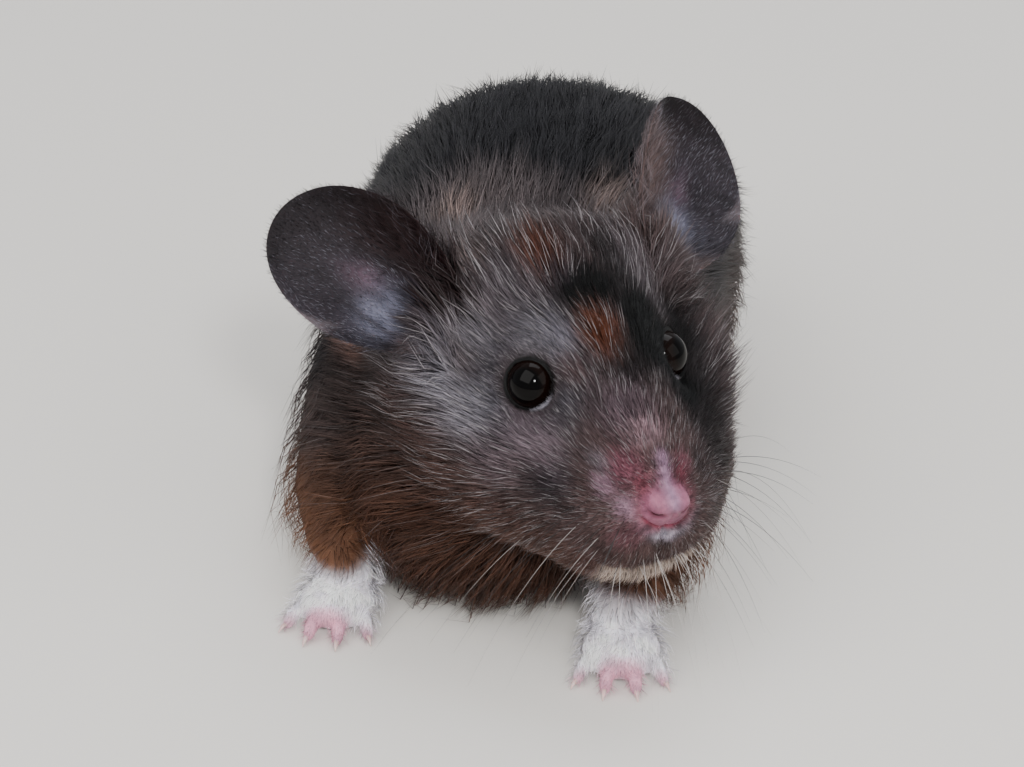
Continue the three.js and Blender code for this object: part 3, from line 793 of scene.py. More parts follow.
def nearest_nodes(points):
    """For each point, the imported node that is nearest, as its place in FLESH."""
    parts = [arrays_of(frame["nodes"][name].data) for name in FLESH]
    owners = np.repeat(np.arange(len(FLESH)), [len(faces) for _, faces in parts])
    all_points, all_faces = joined(parts)
    tree = BVHTree.FromPolygons(all_points.tolist(), all_faces.tolist())
    return owners[[tree.find_nearest(point)[2] for point in points.tolist()]]


# ---------- The head's features, in its own frame ----------
def eye_frame(side):
    """The ball's centre and its axis out of the head, then two directions across it."""
    axis = unit(mirrored(EYE["axis"], side))
    across = unit(np.cross((0, 0, 1), axis))
    return mirrored(EYE["centre"], side), axis, across, np.cross(axis, across)


def round_eye(places, side):
    """Each place's distance from the eye's axis and its height along it."""
    centre, axis, _, _ = eye_frame(side)
    offsets = places - centre
    heights = offsets @ axis
    return np.linalg.norm(offsets - heights[:, None] * axis, axis=1), heights


def nose_edge(x):
    """The height of the crease under the nose at a place across the muzzle."""
    return NOSE_EDGE["height"] + NOSE_EDGE["rise"] * (x - NOSE_EDGE["middle"]) ** 2


def mouth_height(x):
    """The height of the closed mouth's line at a place across the muzzle."""
    return MOUTH["height"] + MOUTH["rise"] * x * x


def near_mouth(places):
    """How strongly each place lies on the front of the muzzle, where the mouth runs."""
    x, y, z = places.T
    return ramp(np.abs(x), 10.5, 7.5) * ramp(y, -9.0, -13.0) * ramp(z, -24.0, -21.0)


def groove(distance, depth, width):
    """A furrow along the line where the distance is 0."""
    return -depth * bump(distance, width)


def form(side, z, across, height, wide, tall, width, rise):
    """One swelling or hollow of the muzzle, the same on both sides."""
    return rise * bump(np.hypot((side - across) * wide, (z - height) * tall), width)


def shaped_muzzle(places, normals):
    """Moves for the whisker pads, the split lip, the mouth, the chin and the nose."""
    x, y, z = places.T
    side = np.abs(x)
    front = ramp(y, -12.0, -16.0)
    lip_line, edge = mouth_height(x), nose_edge(x)
    pads = form(side, z, *PAD_FORM) * front
    between = ramp(z, edge, edge - 0.8) * ramp(z, lip_line - 0.5, lip_line + 0.6)
    split = groove(side, *GROOVES["lip"]) * between * front
    mouth = groove(z - lip_line, *GROOVES["mouth"]) * near_mouth(places)
    chin = 0.35 * ramp(z, lip_line - 0.4, lip_line - 1.4) * ramp(side, 7.5, 4) * near_mouth(places)
    on_nose = front * ramp(z, edge - 0.8, edge)
    nostril = bump(np.hypot((side - NOSTRIL[0]) - 0.3 * (z - NOSTRIL[2]), (z - NOSTRIL[2]) * 2.0), 0.6)
    forms = sum(form(side, z, *numbers) for numbers in NOSE_FORMS)
    ridge = bump(side, 0.8) * ramp(z, -4.6, -3.4) - 0.5 * bump(side, 0.4) * ramp(z, -3.6, -5.0)
    hollow = bump(np.hypot(side - NOSE_HOLLOW[0], (y - NOSE_HOLLOW[1]) * 0.7), 1.1) * ramp(z, -5.0, -3.5)
    nose = on_nose * (forms - nostril + 0.4 * ridge - 0.5 * hollow)
    under = groove(z - edge, *GROOVES["nose"]) * ramp(side, 3.4, 2.6) * front
    return normals * (pads + split + mouth + chin + nose + under)[:, None]


def open_eyes(places):
    """Sinks the skin inside each lid and lifts it to the ball round the opening."""
    for side in SIDES:
        _, axis, _, _ = eye_frame(side)
        distance, height = round_eye(places, side)
        opening, radius = LID["opening"], EYE["radius"]
        rim = math.sqrt(radius**2 - opening**2) + LID["height"]
        target = LID["inside"] + (rim - LID["inside"]) * ramp(distance, opening - 0.2, opening)
        target = target - LID["fall"] * ramp(distance, opening + 0.3, opening + 1.2)
        start, end = LID["blend"]
        share = (1 - ramp(distance, start, end)) * (height > LID["back"])
        places = places + ((target - height) * share)[:, None] * axis
    return places


# ---------- The skin ----------
def starts_with(nodes, *starts):
    """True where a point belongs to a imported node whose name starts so."""
    chosen = [index for index, name in enumerate(FLESH) if name.startswith(starts)]
    return np.isin(nodes, chosen)


def set_by_node(values, nodes, known):
    """The values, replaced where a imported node's name starts as a key does."""
    for start, value in known.items():
        chosen = starts_with(nodes, start)
        values = np.where(chosen if values.ndim == 1 else chosen[:, None], value, values)
    return values


def by_height(points, steps_by_node):
    """What stepped gives for each node at each point's height."""
    return {start: stepped(points[:, 2] / MM, *steps) for start, steps in steps_by_node.items()}


def coat_depth(points, nodes):
    """How far the skin lies inside the tips of the coat, in millimetres."""
    head = in_head(points)
    depth = stepped(nose_distance(head), *DEPTH["from_nose"]) - spots(head, DEPTH["shallow"])
    for side in SIDES:
        distance, _ = round_eye(head, side)
        depth = DEPTH["eye"] + (depth - DEPTH["eye"]) * ramp(distance, 4, 9)
        from_ear = np.linalg.norm(head - EAR[side]["base"], axis=1)
        depth = DEPTH["ear"] + (depth - DEPTH["ear"]) * ramp(from_ear, 7, 13)
    depth = set_by_node(depth, nodes, by_height(points, DEPTH["by_node"]))
    return depth + spots(points / MM, DEPTH["deep"])


def fleshed_body():
    """The head, trunk, legs and tail as one skin, inside the coat by its depth."""
    solids = [name for name in frame["nodes"] if not name.startswith(("ear", "forefoot", "hindfoot"))]
    parts = [packed_flesh(name) for name in solids]
    for node in FOOT_YAW:
        parts += [grown(*shape) for shape in palm_and_ankle(node, *ANKLE_CORE)]
    points, faces = remeshed(*joined(parts), SKIN_VOXEL)
    edges = edges_of(faces)
    points = smoothed(points, edges, ROUNDS["bulk"])
    nodes = nearest_nodes(points)
    head = in_head(points)
    from_nose = nose_distance(head)
    soft = np.where(starts_with(nodes, "head", "nose"), 0.7 * ramp(from_nose, 9, 22), 1.0)
    soft = evened(np.minimum(soft, ramp(points[:, 2], 8 * MM, 15 * MM)), edges, ROUNDS["soft_edge"])
    points = points + (evened(points, edges, ROUNDS["soft"]) - points) * soft[:, None]
    depth = evened(coat_depth(points, nodes), edges, ROUNDS["depth"]) * MM + GROWN
    for _ in range(ROUNDS["steps"]):
        normals = unit(evened(point_normals(points, faces), edges, ROUNDS["normals"]))
        points = points - normals * (depth / ROUNDS["steps"])[:, None]
        points = points + (evened(points, edges, 1) - points) * ramp(depth / MM, 1.0, 3.0)[:, None]
    return points, faces


def bare_parts(places, margin):
    """True where the face needs fine triangles: the nose, the mouth's line and the lids."""
    x, y, z = places.T
    fine = (near_mouth(places) > 0.05) & (np.abs(z - mouth_height(x)) < 1.0 + margin)
    fine |= nose_distance(places) < 4.5 + margin
    fine |= (np.abs(x) < 0.6 + margin) & (y < -14) & (z > -17)
    for side in SIDES:
        distance, height = round_eye(places, side)
        fine |= (distance < 3.6 + margin) & (height > -2) & (y < 6)
    return fine


def foot_skin(node):
    """One foot as a closed skin, inside its thin coat."""
    points, faces = remeshed(*joined(foot_shapes(node)), FOOT_VOXEL)
    points = smoothed(points, edges_of(faces), ROUNDS["foot"])
    return points - point_normals(points, faces) * FOOT_COAT, faces


def make_skin():
    """The skin as arrays: its points, faces, edges and normals, and each point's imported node."""
    points, faces = fleshed_body()
    for margin, rounds in FINE:
        points, faces = refined(points, faces, bare_parts(in_head(points), margin))
        fine = bare_parts(in_head(points), margin)
        points = np.where(fine[:, None], evened(points, edges_of(faces), rounds), points)
    head = in_head(points)
    head = head + shaped_muzzle(head, point_normals(points, faces) @ HEAD_AXES)
    points = from_head(open_eyes(head))
    feet = [foot_skin(node) for node in FOOT_YAW]
    ears = [united(ear_leaf(side), [ear_root(side)]) for side in SIDES]
    lids = [lid_ring(side) for side in SIDES]
    points, faces = united((points, faces), ears + feet + lids)
    points[:, 2] = np.maximum(points[:, 2], 0)
    return {"points": points, "faces": faces, "edges": edges_of(faces),
            "normals": point_normals(points, faces), "nodes": nearest_nodes(points)}


# ---------- Eyes, lids, claws and whiskers ----------
def lid_ring(side):
    """The moist rim round an eye's opening, a little pointed at its corners."""
    centre, axis, across, up = eye_frame(side)
    height = math.sqrt(EYE["radius"] ** 2 - LID["opening"] ** 2) + LID["height"] - 0.1
    turns = np.linspace(0, 2 * math.pi, LID["steps"], endpoint=False)
    corner = LID["corner"] * np.abs(np.cos(turns)) ** 6
    radial = np.outer(np.cos(turns), across) + np.outer(np.sin(turns), up)
    middles = centre + axis * (height - 0.25 * corner[:, None]) + radial * (LID["opening"] + corner)[:, None]
    around = np.linspace(0, 2 * math.pi, LID["around"], endpoint=False)
    ways = [radial * math.cos(turn) + axis * math.sin(turn) for turn in around]
    points = np.stack([middles + way * LID["thickness"] for way in ways], axis=1).reshape(-1, 3)
    return from_head(points), torus_faces(LID["steps"], LID["around"])


def torus_faces(steps, around):
    """The triangles of a ring of rings of points."""
    step, turn = np.meshgrid(np.arange(steps), np.arange(around), indexing="ij")
    here = step * around + turn
    beside = step * around + (turn + 1) % around
    after = (step + 1) % steps * around + turn
    across = (step + 1) % steps * around + (turn + 1) % around
    lower = np.stack([here, after, across], axis=-1).reshape(-1, 3)
    upper = np.stack([here, across, beside], axis=-1).reshape(-1, 3)
    return np.concatenate([lower, upper])


def make_eye(side, material):
    """A ball that knows how far out of the head each point faces, for its ring's tint."""
    centre, axis, across, up = eye_frame(side)
    points, faces = ball((0, 0, 0), (EYE["radius"],) * 3, around=64, rings=40)
    share = points[:, 2] / EYE["radius"]
    turned = points @ np.stack([across, up, axis])
    eye = add_piece(f"eye_{side}", mesh_of(f"eye_{side}", from_head(centre + turned), faces), material)
    store(eye.data, "outwards", share)
    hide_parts(f"eye_{side}")


def make_claws(node, material):
    """Curved pointed claws on one foot."""
    spec, _, _ = foot_frame(node)
    share = np.linspace(0, 1, CLAW["steps"])
    distances = spec["toe_length"] - CLAW["bury"] + share * (spec["claw"] + CLAW["bury"])
    heights = CLAW["height"] - CLAW["drop"] * share**2
    radii = CLAW["radius"] * (1 - share ** CLAW["taper"]) + CLAW["tip"]
    claws = [tube(toe_line(toe, distances, heights), radii, flat=CLAW["flat"]) for toe in spec["toes"]]
    points, faces = joined(claws)
    name = f"claws_{node}"
    add_piece(name, mesh_of(name, on_foot(node, points), faces), material)


def hair_line(root, direction, length, droop):
    """Points along a stiff hair that sinks a little under its own weight."""
    share = np.linspace(0, 1, WHISKER["steps"])[:, None]
    return root + direction * share * length + np.array((0, 0, -droop)) * share**2 * length


def fitted_hair(root, direction, length, droop):
    """The same hair, made shorter until it stays inside the model's room."""
    while length > WHISKER["shortest"] * MM:
        points = hair_line(root, direction, length, droop)
        inside = (np.abs(points[:, 0]) < WHISKER["room"][0]) & (points[:, 1] > WHISKER["room"][1])
        if (inside & (points[:, 2] > WHISKER["room"][2])).all():
            break
        length *= WHISKER["fit"]
    return points


def make_whiskers(name, hairs, tree, material):
    """Thin closed hairs from the skin; each is its place, direction, length, droop, radius and shade."""
    parts, shades = [], []
    for place, direction, length, droop, radius, shade in hairs:
        root = np.array(tree.find_nearest(from_head(place).tolist())[0])
        way = HEAD_AXES @ unit(np.array(direction))
        points = fitted_hair(root - way * WHISKER["bury"] * MM, way, length * MM, droop)
        taper, power = WHISKER["taper"]
        radii = radius * MM * (1 - taper * np.linspace(0, 1, len(points)) ** power)
        parts.append(tube(points, radii, around=6))
        shades.append(np.full(len(parts[-1][0]), shade))
    points, faces = joined(parts)
    piece = add_piece(name, mesh_of(name, points, faces), material)
    store(piece.data, "shade", np.concatenate(shades))


def cheek_whiskers(side, rng):
    """Rows of whiskers on one pad, longer towards the back of each row."""
    hairs = []
    scatter, swing = WHISKER["spot_scatter"], WHISKER["way_scatter"]
    for row in range(WHISKER["rows"]):
        for column in range(WHISKER["columns"]):
            spot = (1, column, row) @ np.array(WHISKER["spots"]) + rng.uniform(-scatter, scatter, 3)
            way = (1, column, row) @ np.array(WHISKER["ways"]) + rng.uniform(-swing, swing, 3)
            length = (WHISKER["first"] + WHISKER["longer"] * column) * rng.uniform(*WHISKER["lengths"])
            first_share, per_row = WHISKER["pale_share"][side]
            shade = WHISKER["pale"] if rng.random() < first_share + per_row * row else WHISKER["dark"]
            radius = WHISKER["radius"] * rng.uniform(*WHISKER["radii"])
            droop = rng.uniform(*WHISKER["droops"])
            hairs.append((mirrored(spot, side), mirrored(way, side), length, droop, radius, shade))
    return hairs


def chin_whiskers(rng):
    """White hairs that hang from the upper lip over the chin."""
    hairs = []
    for _ in range(CHIN_HAIR["count"]):
        x = rng.uniform(*CHIN_HAIR["across"])
        spot = (x, CHIN_HAIR["front"], mouth_height(x) + rng.uniform(*CHIN_HAIR["above"]))
        way = (0.08 * x + rng.uniform(-0.3, 0.5), -0.8, -0.4 + rng.uniform(-0.3, 0.3))
        radius = WHISKER["radius"] * rng.uniform(*CHIN_HAIR["radii"])
        length = rng.uniform(*CHIN_HAIR["lengths"])
        hairs.append((spot, way, length, rng.uniform(*CHIN_HAIR["droops"]), radius, CHIN_HAIR["shade"]))
    return hairs


def brow_whiskers(side, rng):
    """A few long fine hairs over an eye and on the cheek."""
    hairs = []
    for spot, way in WHISKER["brow"]:
        hairs.append((mirrored(spot, side), mirrored(way, side), rng.uniform(8, 12), 0.1,
                      WHISKER["radius"] * 0.7, WHISKER["dark"]))
    return hairs


# ---------- Markings ----------
def beside_eye(places, side):
    """Each place's distance from the eye's axis, height along it, and whether it is on that side."""
    distance, height = round_eye(places, side)
    return distance, height, (places[:, 0] * SIDES[side] > 0) & (height > -EYE["depth"])


def painted(tint, *layers):
    """A tint with layers over it, each the name of a tint and its strength."""
    for name, strength in layers:
        tint = mix(tint, TINT[name], strength)
    return tint


def spotted(tint, places, marks):
    """A tint with soft marks over it, each the name of a tint, a place, a size and a strength."""
    layers = [(name, np.minimum(strength * spot_at(places, centre, size), 1))
              for name, centre, size, strength in marks]
    return painted(tint, *layers)


def head_markings(places, tint):
    """Paints the face's marks over a first tint, among them painted sheen, a painted highlight on each eye's
    wet rim and painted shade on the nose.
    """
    x, y, z = places.T
    from_nose = nose_distance(places)
    tint = painted(tint, ("cheek", ramp(from_nose, 52, 38)), ("lower_cheek", ramp(z, -8, -16)),
                   ("muzzle", 0.75 * ramp(from_nose, 18, 11)))
    for side in SIDES:
        distance, _, on_side = beside_eye(places, side)
        tint = painted(tint, ("eye_grey", EYE["grey"][side] * bump(distance - 6.0, 2.6) * on_side))
    tint = spotted(tint, places, HEAD_SPOTS)
    for side in SIDES:
        centre, axis, across, up = eye_frame(side)
        distance, height, on_side = beside_eye(places, side)
        # Painted highlight: a pale line of glints on the wet rim at each eye's lower inner corner.
        corner = unit(places - centre - axis * height[:, None]) @ (-0.85 * across * SIDES[side] - 0.53 * up)
        wet_glint = 0.9 * bump(distance - 3.3, 0.17) * ramp(corner, 0.8, 0.98) * on_side
        tint = painted(tint, ("lid", ramp(distance, 3.9, 3.3) * on_side), ("wet_glint", wet_glint))
    line = z - mouth_height(x)
    under = ramp(line, -0.3, -0.9) * near_mouth(places) * ramp(np.abs(x), 7.6, 5.6)
    under_nose = bump(x, 3.4) * ramp(y, -18, -20) * bump(z - nose_edge(x) + 1.3, 1.1)
    tint = painted(tint, ("lip", 0.95 * under * ramp(line, -3.4, -2.2)),
                   ("philtrum", (0.6 + 0.25 * bump(x, 1.2)) * under_nose))
    return nose_markings(places, tint)


def nose_markings(places, tint):
    """The bare pink nose, with a painted highlight down its ridge and painted shade in its hollows, its
    nostrils and the crease under it.
    """
    x, y, z = places.T
    across, from_nose, edge = np.abs(x), nose_distance(places), nose_edge(x)
    width = 3.6 - 0.5 * np.maximum(-5.5 - z, 0)
    pad = ramp(y, -18.6, -20.6) * ramp(across - width, 0, -0.8) * ramp(z, edge - 0.4, edge)
    # Painted highlight: a pale lilac stripe down the nose's ridge.
    ridge = bump(x - 0.2, 0.9) * ramp(y, -15.8, -17.5) * ramp(z, -4.8, -3.6)
    tint = painted(tint, ("nose_side", 0.7 * ramp(from_nose, 6.6, 4.0) * ramp(z, -9.4, -8.2)),
                   ("nose", pad), ("ridge", 0.8 * ridge))
    # Painted shade: the hollows beside the nose and the nostrils are darkened.
    for side in SIDES:
        hollow, nostril = mirrored(NOSE_HOLLOW, side), mirrored(NOSTRIL, side)
        tint = painted(tint, ("hollow", 0.8 * spot_at(places, hollow, (0.9, 1.5, 1.5))),
                       ("nostril", spot_at(places, nostril, (0.95, 1.4, 0.5))))
    # Painted shade along the crease under the nose.
    crease = bump(z - edge, 0.3) * ramp(across, 3.4, 2.6) * ramp(y, -19, -20)
    tint = painted(tint, ("nose_edge", 0.9 * crease))
    mottle = np.clip(ripples(places, 1.4, SEEDS["nose"]), -1, 1) * ramp(from_nose, 9.0, 6.0)
    return tint * (1 + mottle * (0.38 - 0.26 * pad))[:, None]


def body_markings(points, nodes):
    """The coat's tint behind the head, down to the paws."""
    x, y, z = (points / MM).T
    rough = 3 * ripples(points, 22 * MM, SEEDS["flank"])
    tint = np.broadcast_to(TINT["back"], points.shape)
    tint = painted(tint, ("nape", ramp(y + 2 * rough, 1, -15) * ramp(z, 26, 38)))
    tint = spotted(tint, points / MM, BODY_SPOTS)
    front = ramp(y, -26, -36) * ramp(z, 26, 16) * ramp(x * np.where(x > 0, 1, -1.3), 27, 18)
    # Lower down, the flanks turn a warmer brown: partly their own fur, partly painted warm light thrown up
    # from the ground.
    tint = painted(tint, ("flank", ramp(z + rough, 32, 22)), ("low_flank", ramp(z + 0.4 * rough, 16, 9.5)),
                   ("chest", front))
    for node in FOOT_YAW:
        away = np.linalg.norm(points - foot_frame(node)[2], axis=1) / MM
        leg = node.replace("foot", "leg")
        tint = painted(tint, ("paw", ramp(away + 0.2 * rough, 9.5, 7.0) * starts_with(nodes, leg)),
                       ("paw", starts_with(nodes, node)))
    return painted(tint, ("bare", 0.35 * starts_with(nodes, "tail")))


def toe_reach(points, node):
    """How far each place lies beyond the first toe's root on one foot, in millimetres."""
    spec, turn, middle = foot_frame(node)
    return -((points - middle) @ turn)[:, 1] / MM - min(-y for _, y, _ in spec["toes"])


def toe_markings(points, nodes, tint):
    """Pink toes."""
    for node in FOOT_YAW:
        reach = toe_reach(points, node)
        tint = painted(tint, ("toe", 0.9 * ramp(reach, 1.6, 3.4) * starts_with(nodes, node)))
    return tint


def ear_places(places, side):
    """Places on an ear: millimetres towards its outer edge and out of its front, and its length's share."""
    base, length, axes = ear_frame(side)
    local = (places - base) @ axes.T
    return local[:, 0] * SIDES[side], -local[:, 1], local[:, 2] / length


def ear_markings(places, nodes, tint):
    """Dark thin ears, pale inside near the root, with a brown furry hollow, a fine pale rim and painted shade
    high inside.
    """
    for side in SIDES:
        outer, front, share = ear_places(places, side)
        inside = front > 0
        stretched = np.stack([outer * 2.4, front, share * 9], axis=1)
        streaks = 0.75 + 0.35 * ripples(stretched, 4.0, SEEDS["ear"])
        outwards, upwards = EAR_PALE[side]
        pale = bump(share - upwards, 0.14) * bump(outer - outwards, 3.2) * inside
        lilac = bump(share - 0.34, 0.14) * bump(outer - 0.6, 1.5) * inside
        brown = ramp(share, 0.85, 0.4) * ramp(outer, 0.2, -4.6)
        width = spline(EAR["half_width"], share) * np.sqrt(np.clip(1 - (2 * share - 1) ** 2, 0.01, 1))
        rim = ramp(np.abs(outer) / (width * (1 - EAR["rim_pull"])), 0.93, 0.99) * ramp(share, 0.25, 0.4)
        shade = painted(
            np.broadcast_to(TINT["ear"], tint.shape),
            ("ear_edge", 0.7 * ramp(share, 0.4, 0.7)),
            # Painted shade: the inner face darkens towards the top, under the curled edge.
            ("ear_top_shade", 0.8 * ramp(share - 0.03 * outer, 0.5, 0.92) * inside),
            ("ear_lilac", 0.7 * lilac * np.clip(streaks, 0, 1)),
            ("ear_pale", pale * np.clip(streaks, 0.2, 1)),
            ("ear_tan" if side == "left" else "ear_brown", 0.9 * brown),
            ("ear_rim", 0.6 * rim * (outer > -3)))
        tint = mix(tint, shade, starts_with(nodes, f"ear_{side}") * ramp(share, -0.12, 0.02))
    return tint


def markings(skin):
    """The tint of each point of the skin."""
    points, nodes = skin["points"], skin["nodes"]
    places = in_head(points)
    body = body_markings(points, nodes)
    on_head = starts_with(nodes, "head", "nose", "ear").astype(float)
    on_head = evened(on_head, skin["edges"], ROUNDS["face_edge"])
    tint = mix(body, head_markings(places, body), on_head)
    tint = toe_markings(points, nodes, tint)
    tint = ear_markings(places, nodes, tint)
    patches = sum(strength * ripples(points, size * MM, seed) for strength, size, seed in PATCHES)
    return np.clip(tint * (1 + patches)[:, None], 0.004, 0.95)


# ---------- The lie, length and spread of the coat ----------
def lie_of_coat(skin):
    """The way the hair points at each point of the skin."""
    points, nodes, normals = skin["points"], skin["nodes"], skin["normals"]
    x, y, z = (points / MM).T
    places = in_head(points)
    ones = np.ones(len(points))
    sideways = np.clip(np.abs(x) / LIE["half_width"], 0, 1)
    down = stepped(y, LIE["down"] + LIE["sideways"] * sideways, LIE["rump"])
    flow = np.stack([0 * ones, ones, -down], axis=1)
    flow = mix(flow, LIE["chest"], ramp(y, *LIE["chest_along"]) * ramp(z, *LIE["chest_up"]))
    fan = unit(places - NOSE_TIP) + LIE["fan"]
    fan[:, 2] = stepped(places[:, 2], fan[:, 2], LIE["jaw"])
    ruff = LIE["ruff"] * ramp(nose_distance(places), *LIE["ruff_back"])
    flow = mix(flow, fan @ HEAD_AXES.T, np.where(starts_with(nodes, "head", "nose"), 1, ruff))
    ways = dict(WAYS)
    for node in FOOT_YAW:
        ways[node] = foot_frame(node)[1] @ FOOT_WAY
    for side in SIDES:
        base, _, axes = ear_frame(side)
        ways[f"ear_{side}"] = (places - base + EAR["fan"] * axes[2]) @ HEAD_AXES.T
    flow = evened(unit(set_by_node(flow, nodes, ways)), skin["edges"], ROUNDS["lie"])
    flow = flow + LIE["wander"] * wander(points)
    return unit(flow - normals * along(flow, normals))


def wander(points):
    """A slow random turning, so the coat doesn't lie like combed wire."""
    return np.stack([ripples(points, 8 * MM, seed) for seed in SEEDS["wander"]], axis=1)


def coat_length(skin):
    """The hair's length at each point of the skin, in millimetres."""
    points, nodes = skin["points"], skin["nodes"]
    places = in_head(points)
    length = stepped(nose_distance(places), *LENGTH["from_nose"])
    for side in SIDES:
        distance, depth = round_eye(places, side)
        near = stepped(distance, *LENGTH["from_eye"]) + LENGTH["behind_eye"] * (depth < -EYE["depth"])
        length = np.minimum(length, near)
    known = by_height(points, LENGTH["by_node"])
    known.update({node: stepped(toe_reach(points, node), *LENGTH["by_toe"]) for node in FOOT_YAW})
    length = set_by_node(length, nodes, known) + spots(places, LENGTH["spots"])
    ears = {}
    for side in SIDES:
        outer, _, share = ear_places(places, side)
        inner = stepped(outer, 0, LENGTH["ear_inner"]) * ramp(share, *LENGTH["ear_low"])
        ears[f"ear_{side}"] = stepped(share, LENGTH["ear"] + inner, LENGTH["ear_root"])
    return evened(set_by_node(length, nodes, ears), skin["edges"], ROUNDS["length"])


def coat_lift(skin):
    """How much the coat stands off the skin at each point, beside the usual."""
    _, y, z = (skin["points"] / MM).T
    chest = stepped(y, 0, LIFT["chest"]) * ramp(z, *LIFT["chest_up"])
    under = stepped(skin["normals"][:, 2], 0, LIFT["under"]) * ramp(z, *LIFT["under_up"])
    lift = stepped(z, 1 + chest, LIFT["low"]) + under
    places = in_head(skin["points"])
    from_nose = nose_distance(places)
    x, _, z = places.T
    lips = ramp(z - mouth_height(x), *LIFT["lips_up"]) * near_mouth(places)
    on_head = starts_with(skin["nodes"], "head", "nose")
    cheek = ramp(np.abs(x), *LIFT["cheek_across"]) * ramp(from_nose, *LIFT["cheek_back"])
    face = stepped(from_nose, *LIFT["from_nose"]) + LIFT["cheek"] * cheek + LIFT["lips"] * lips
    lift = np.where(on_head, face, lift)
    lift = lift + spots(places, LIFT["spots"])
    lift = set_by_node(lift, skin["nodes"], {"ear": LIFT["ear"]})
    return evened(lift, skin["edges"], ROUNDS["lift"])


def coat_spread(skin, length):
    """How closely the tufts stand at each point, and where there are none."""
    points, nodes = skin["points"], skin["nodes"]
    places = in_head(points)
    spread = 1 / (length + 0.6) * ramp(nose_distance(places), 2.6, 6.0)
    for side in SIDES:
        distance, _, on_side = beside_eye(places, side)
        spread = spread * (1 - (distance < LID["opening"] + 0.35) * on_side)
    feet = starts_with(nodes, "forefoot", "hindfoot")
    soles = feet & ((skin["normals"][:, 2] < -0.3) | (points[:, 2] < 0.5 * MM))
    spread = np.where(soles, 0, spread)
    return np.where(points[:, 2] < 0.3 * MM, 0, spread)


def coat_region(points, nodes, normals):
    """Which piece of the coat each place belongs to, by name."""
    places = in_head(points)
    y, z = points[:, 1] / MM, points[:, 2] / MM
    from_nose = nose_distance(places)
    left = points[:, 0] > 0
    region = np.where(left, "flank_left", "flank_right").astype("<U16")
    region[normals[:, 2] > REGION["back_faces"]] = "back"
    region[normals[:, 2] < REGION["belly_faces"]] = "belly"
    region[y > REGION["rump"]] = "rump"
    region[(y < REGION["chest"]) & (z < REGION["chest_top"])] = "chest"
    on_head = starts_with(nodes, "head", "nose")
    region = np.where(on_head, np.where(places[:, 0] > 0, "cheek_left", "cheek_right"), region)
    region[on_head & (places[:, 2] > 3 - 0.25 * np.abs(places[:, 0]))] = "crown"
    region[on_head & (from_nose < REGION["muzzle"])] = "muzzle"
    for start, name in REGION["by_node"].items():
        region[starts_with(nodes, start)] = name
    return region


# ---------- The tufts ----------
def rooted(skin, fields, rng):
    """Scatters roots over the skin, each piece's own number by its faces' area and spread."""
    points, faces = skin["points"], skin["faces"]
    area = np.linalg.norm(face_normals(points, faces), axis=1) / 2
    weight = area * fields["spread"][faces].mean(axis=1)
    region = fields["region"][faces[:, 0]]
    chosen = []
    for name, count in TUFTS.items():
        total = np.cumsum(np.where(region == name, weight, 0))
        stops = (np.arange(count) + rng.random(count)) / count * total[-1]
        chosen.append(np.searchsorted(total, stops))
    chosen = np.minimum(np.concatenate(chosen), len(faces) - 1)
    shares = rng.random((len(chosen), 3)) ** 0.7
    shares = shares / shares.sum(axis=1, keepdims=True)

    def at_roots(values):
        return (values[faces[chosen]] * shares.reshape(shares.shape + (1,) * (values.ndim - 1))).sum(axis=1)

    roots = {name: at_roots(fields[name]) for name in ("flow", "length", "lift")}
    roots.update(place=at_roots(points), normal=unit(at_roots(skin["normals"])),
                 region=region[chosen], node=skin["nodes"][faces[chosen, 0]])
    return roots


def laid_spines(roots, skin, rng):
    """Each tuft's root, middle and tip, lying over the skin, and the face under its middle."""
    count = len(roots["place"])
    tree = BVHTree.FromPolygons(skin["points"].tolist(), skin["faces"].tolist())
    turn = rng.normal(0, math.radians(TUFT["turn"]), count)[:, None]
    flow = unit(roots["flow"] - roots["normal"] * along(roots["flow"], roots["normal"]))
    flow = flow * np.cos(turn) + np.cross(roots["normal"], flow) * np.sin(turn)
    stiff = rng.random(count) < TUFT["guards"]
    more = np.where(stiff, TUFT["guard_length"], 1.0)
    length = roots["length"] * rng.uniform(*TUFT["lengths"], count) * more * MM
    short = roots["length"] < TUFT["short"]
    more = more * np.where(short, TUFT["short_lift"], 1.0)
    lift = TUFT["lift"] * roots["lift"] * rng.uniform(*TUFT["lifts"], count) * more
    spine = [roots["place"] - roots["normal"] * TUFT["bury"] * MM]
    reached, normal = roots["place"], roots["normal"]
    for share, part in TUFT["joints"]:
        ahead = reached + flow * (length * part)[:, None]
        height = length * lift * share ** TUFT["arch"]
        found = [tree.find_nearest(point) for point in ahead.tolist()]
        surface, facing = (np.array([item[k] for item in found]) for k in range(2))
        if share < 1:
            under = np.array([item[2] for item in found])
        follow = (~short & (np.linalg.norm(surface - ahead, axis=1) < TUFT["follow"] * length))[:, None]
        reached = np.where(follow, surface, ahead)
        normal = np.where(follow, facing, normal)
        spine.append(reached + normal * height[:, None])
        flow = unit(flow - normal * along(flow, normal))
    return np.stack(spine, axis=1), stiff, under


def clumped(spine, roots, rng):
    """Draws the tips of neighbours together into locks."""
    pulled = spine.copy()
    for name in TUFTS:
        own = np.flatnonzero(roots["region"] == name)
        leaders = rng.choice(own, max(1, len(own) // TUFT["per_lock"]), replace=False)
        tree = KDTree(len(leaders))
        for number, leader in enumerate(leaders):
            tree.insert(spine[leader, 1], number)
        tree.balance()
        nearest = leaders[[tree.find(point)[1] for point in spine[own, 1].tolist()]]
        strength = rng.uniform(*TUFT["pull"], len(own)) * ramp(roots["length"][own], *TUFT["free"])
        for ring, share in TUFT["bends"]:
            moves = spine[nearest, ring] - spine[own, ring]
            pulled[own, ring] += moves * (strength * share)[:, None]
    pulled[:, 1:, 2] = np.maximum(pulled[:, 1:, 2], TUFT["floor"] * MM)
    return pulled


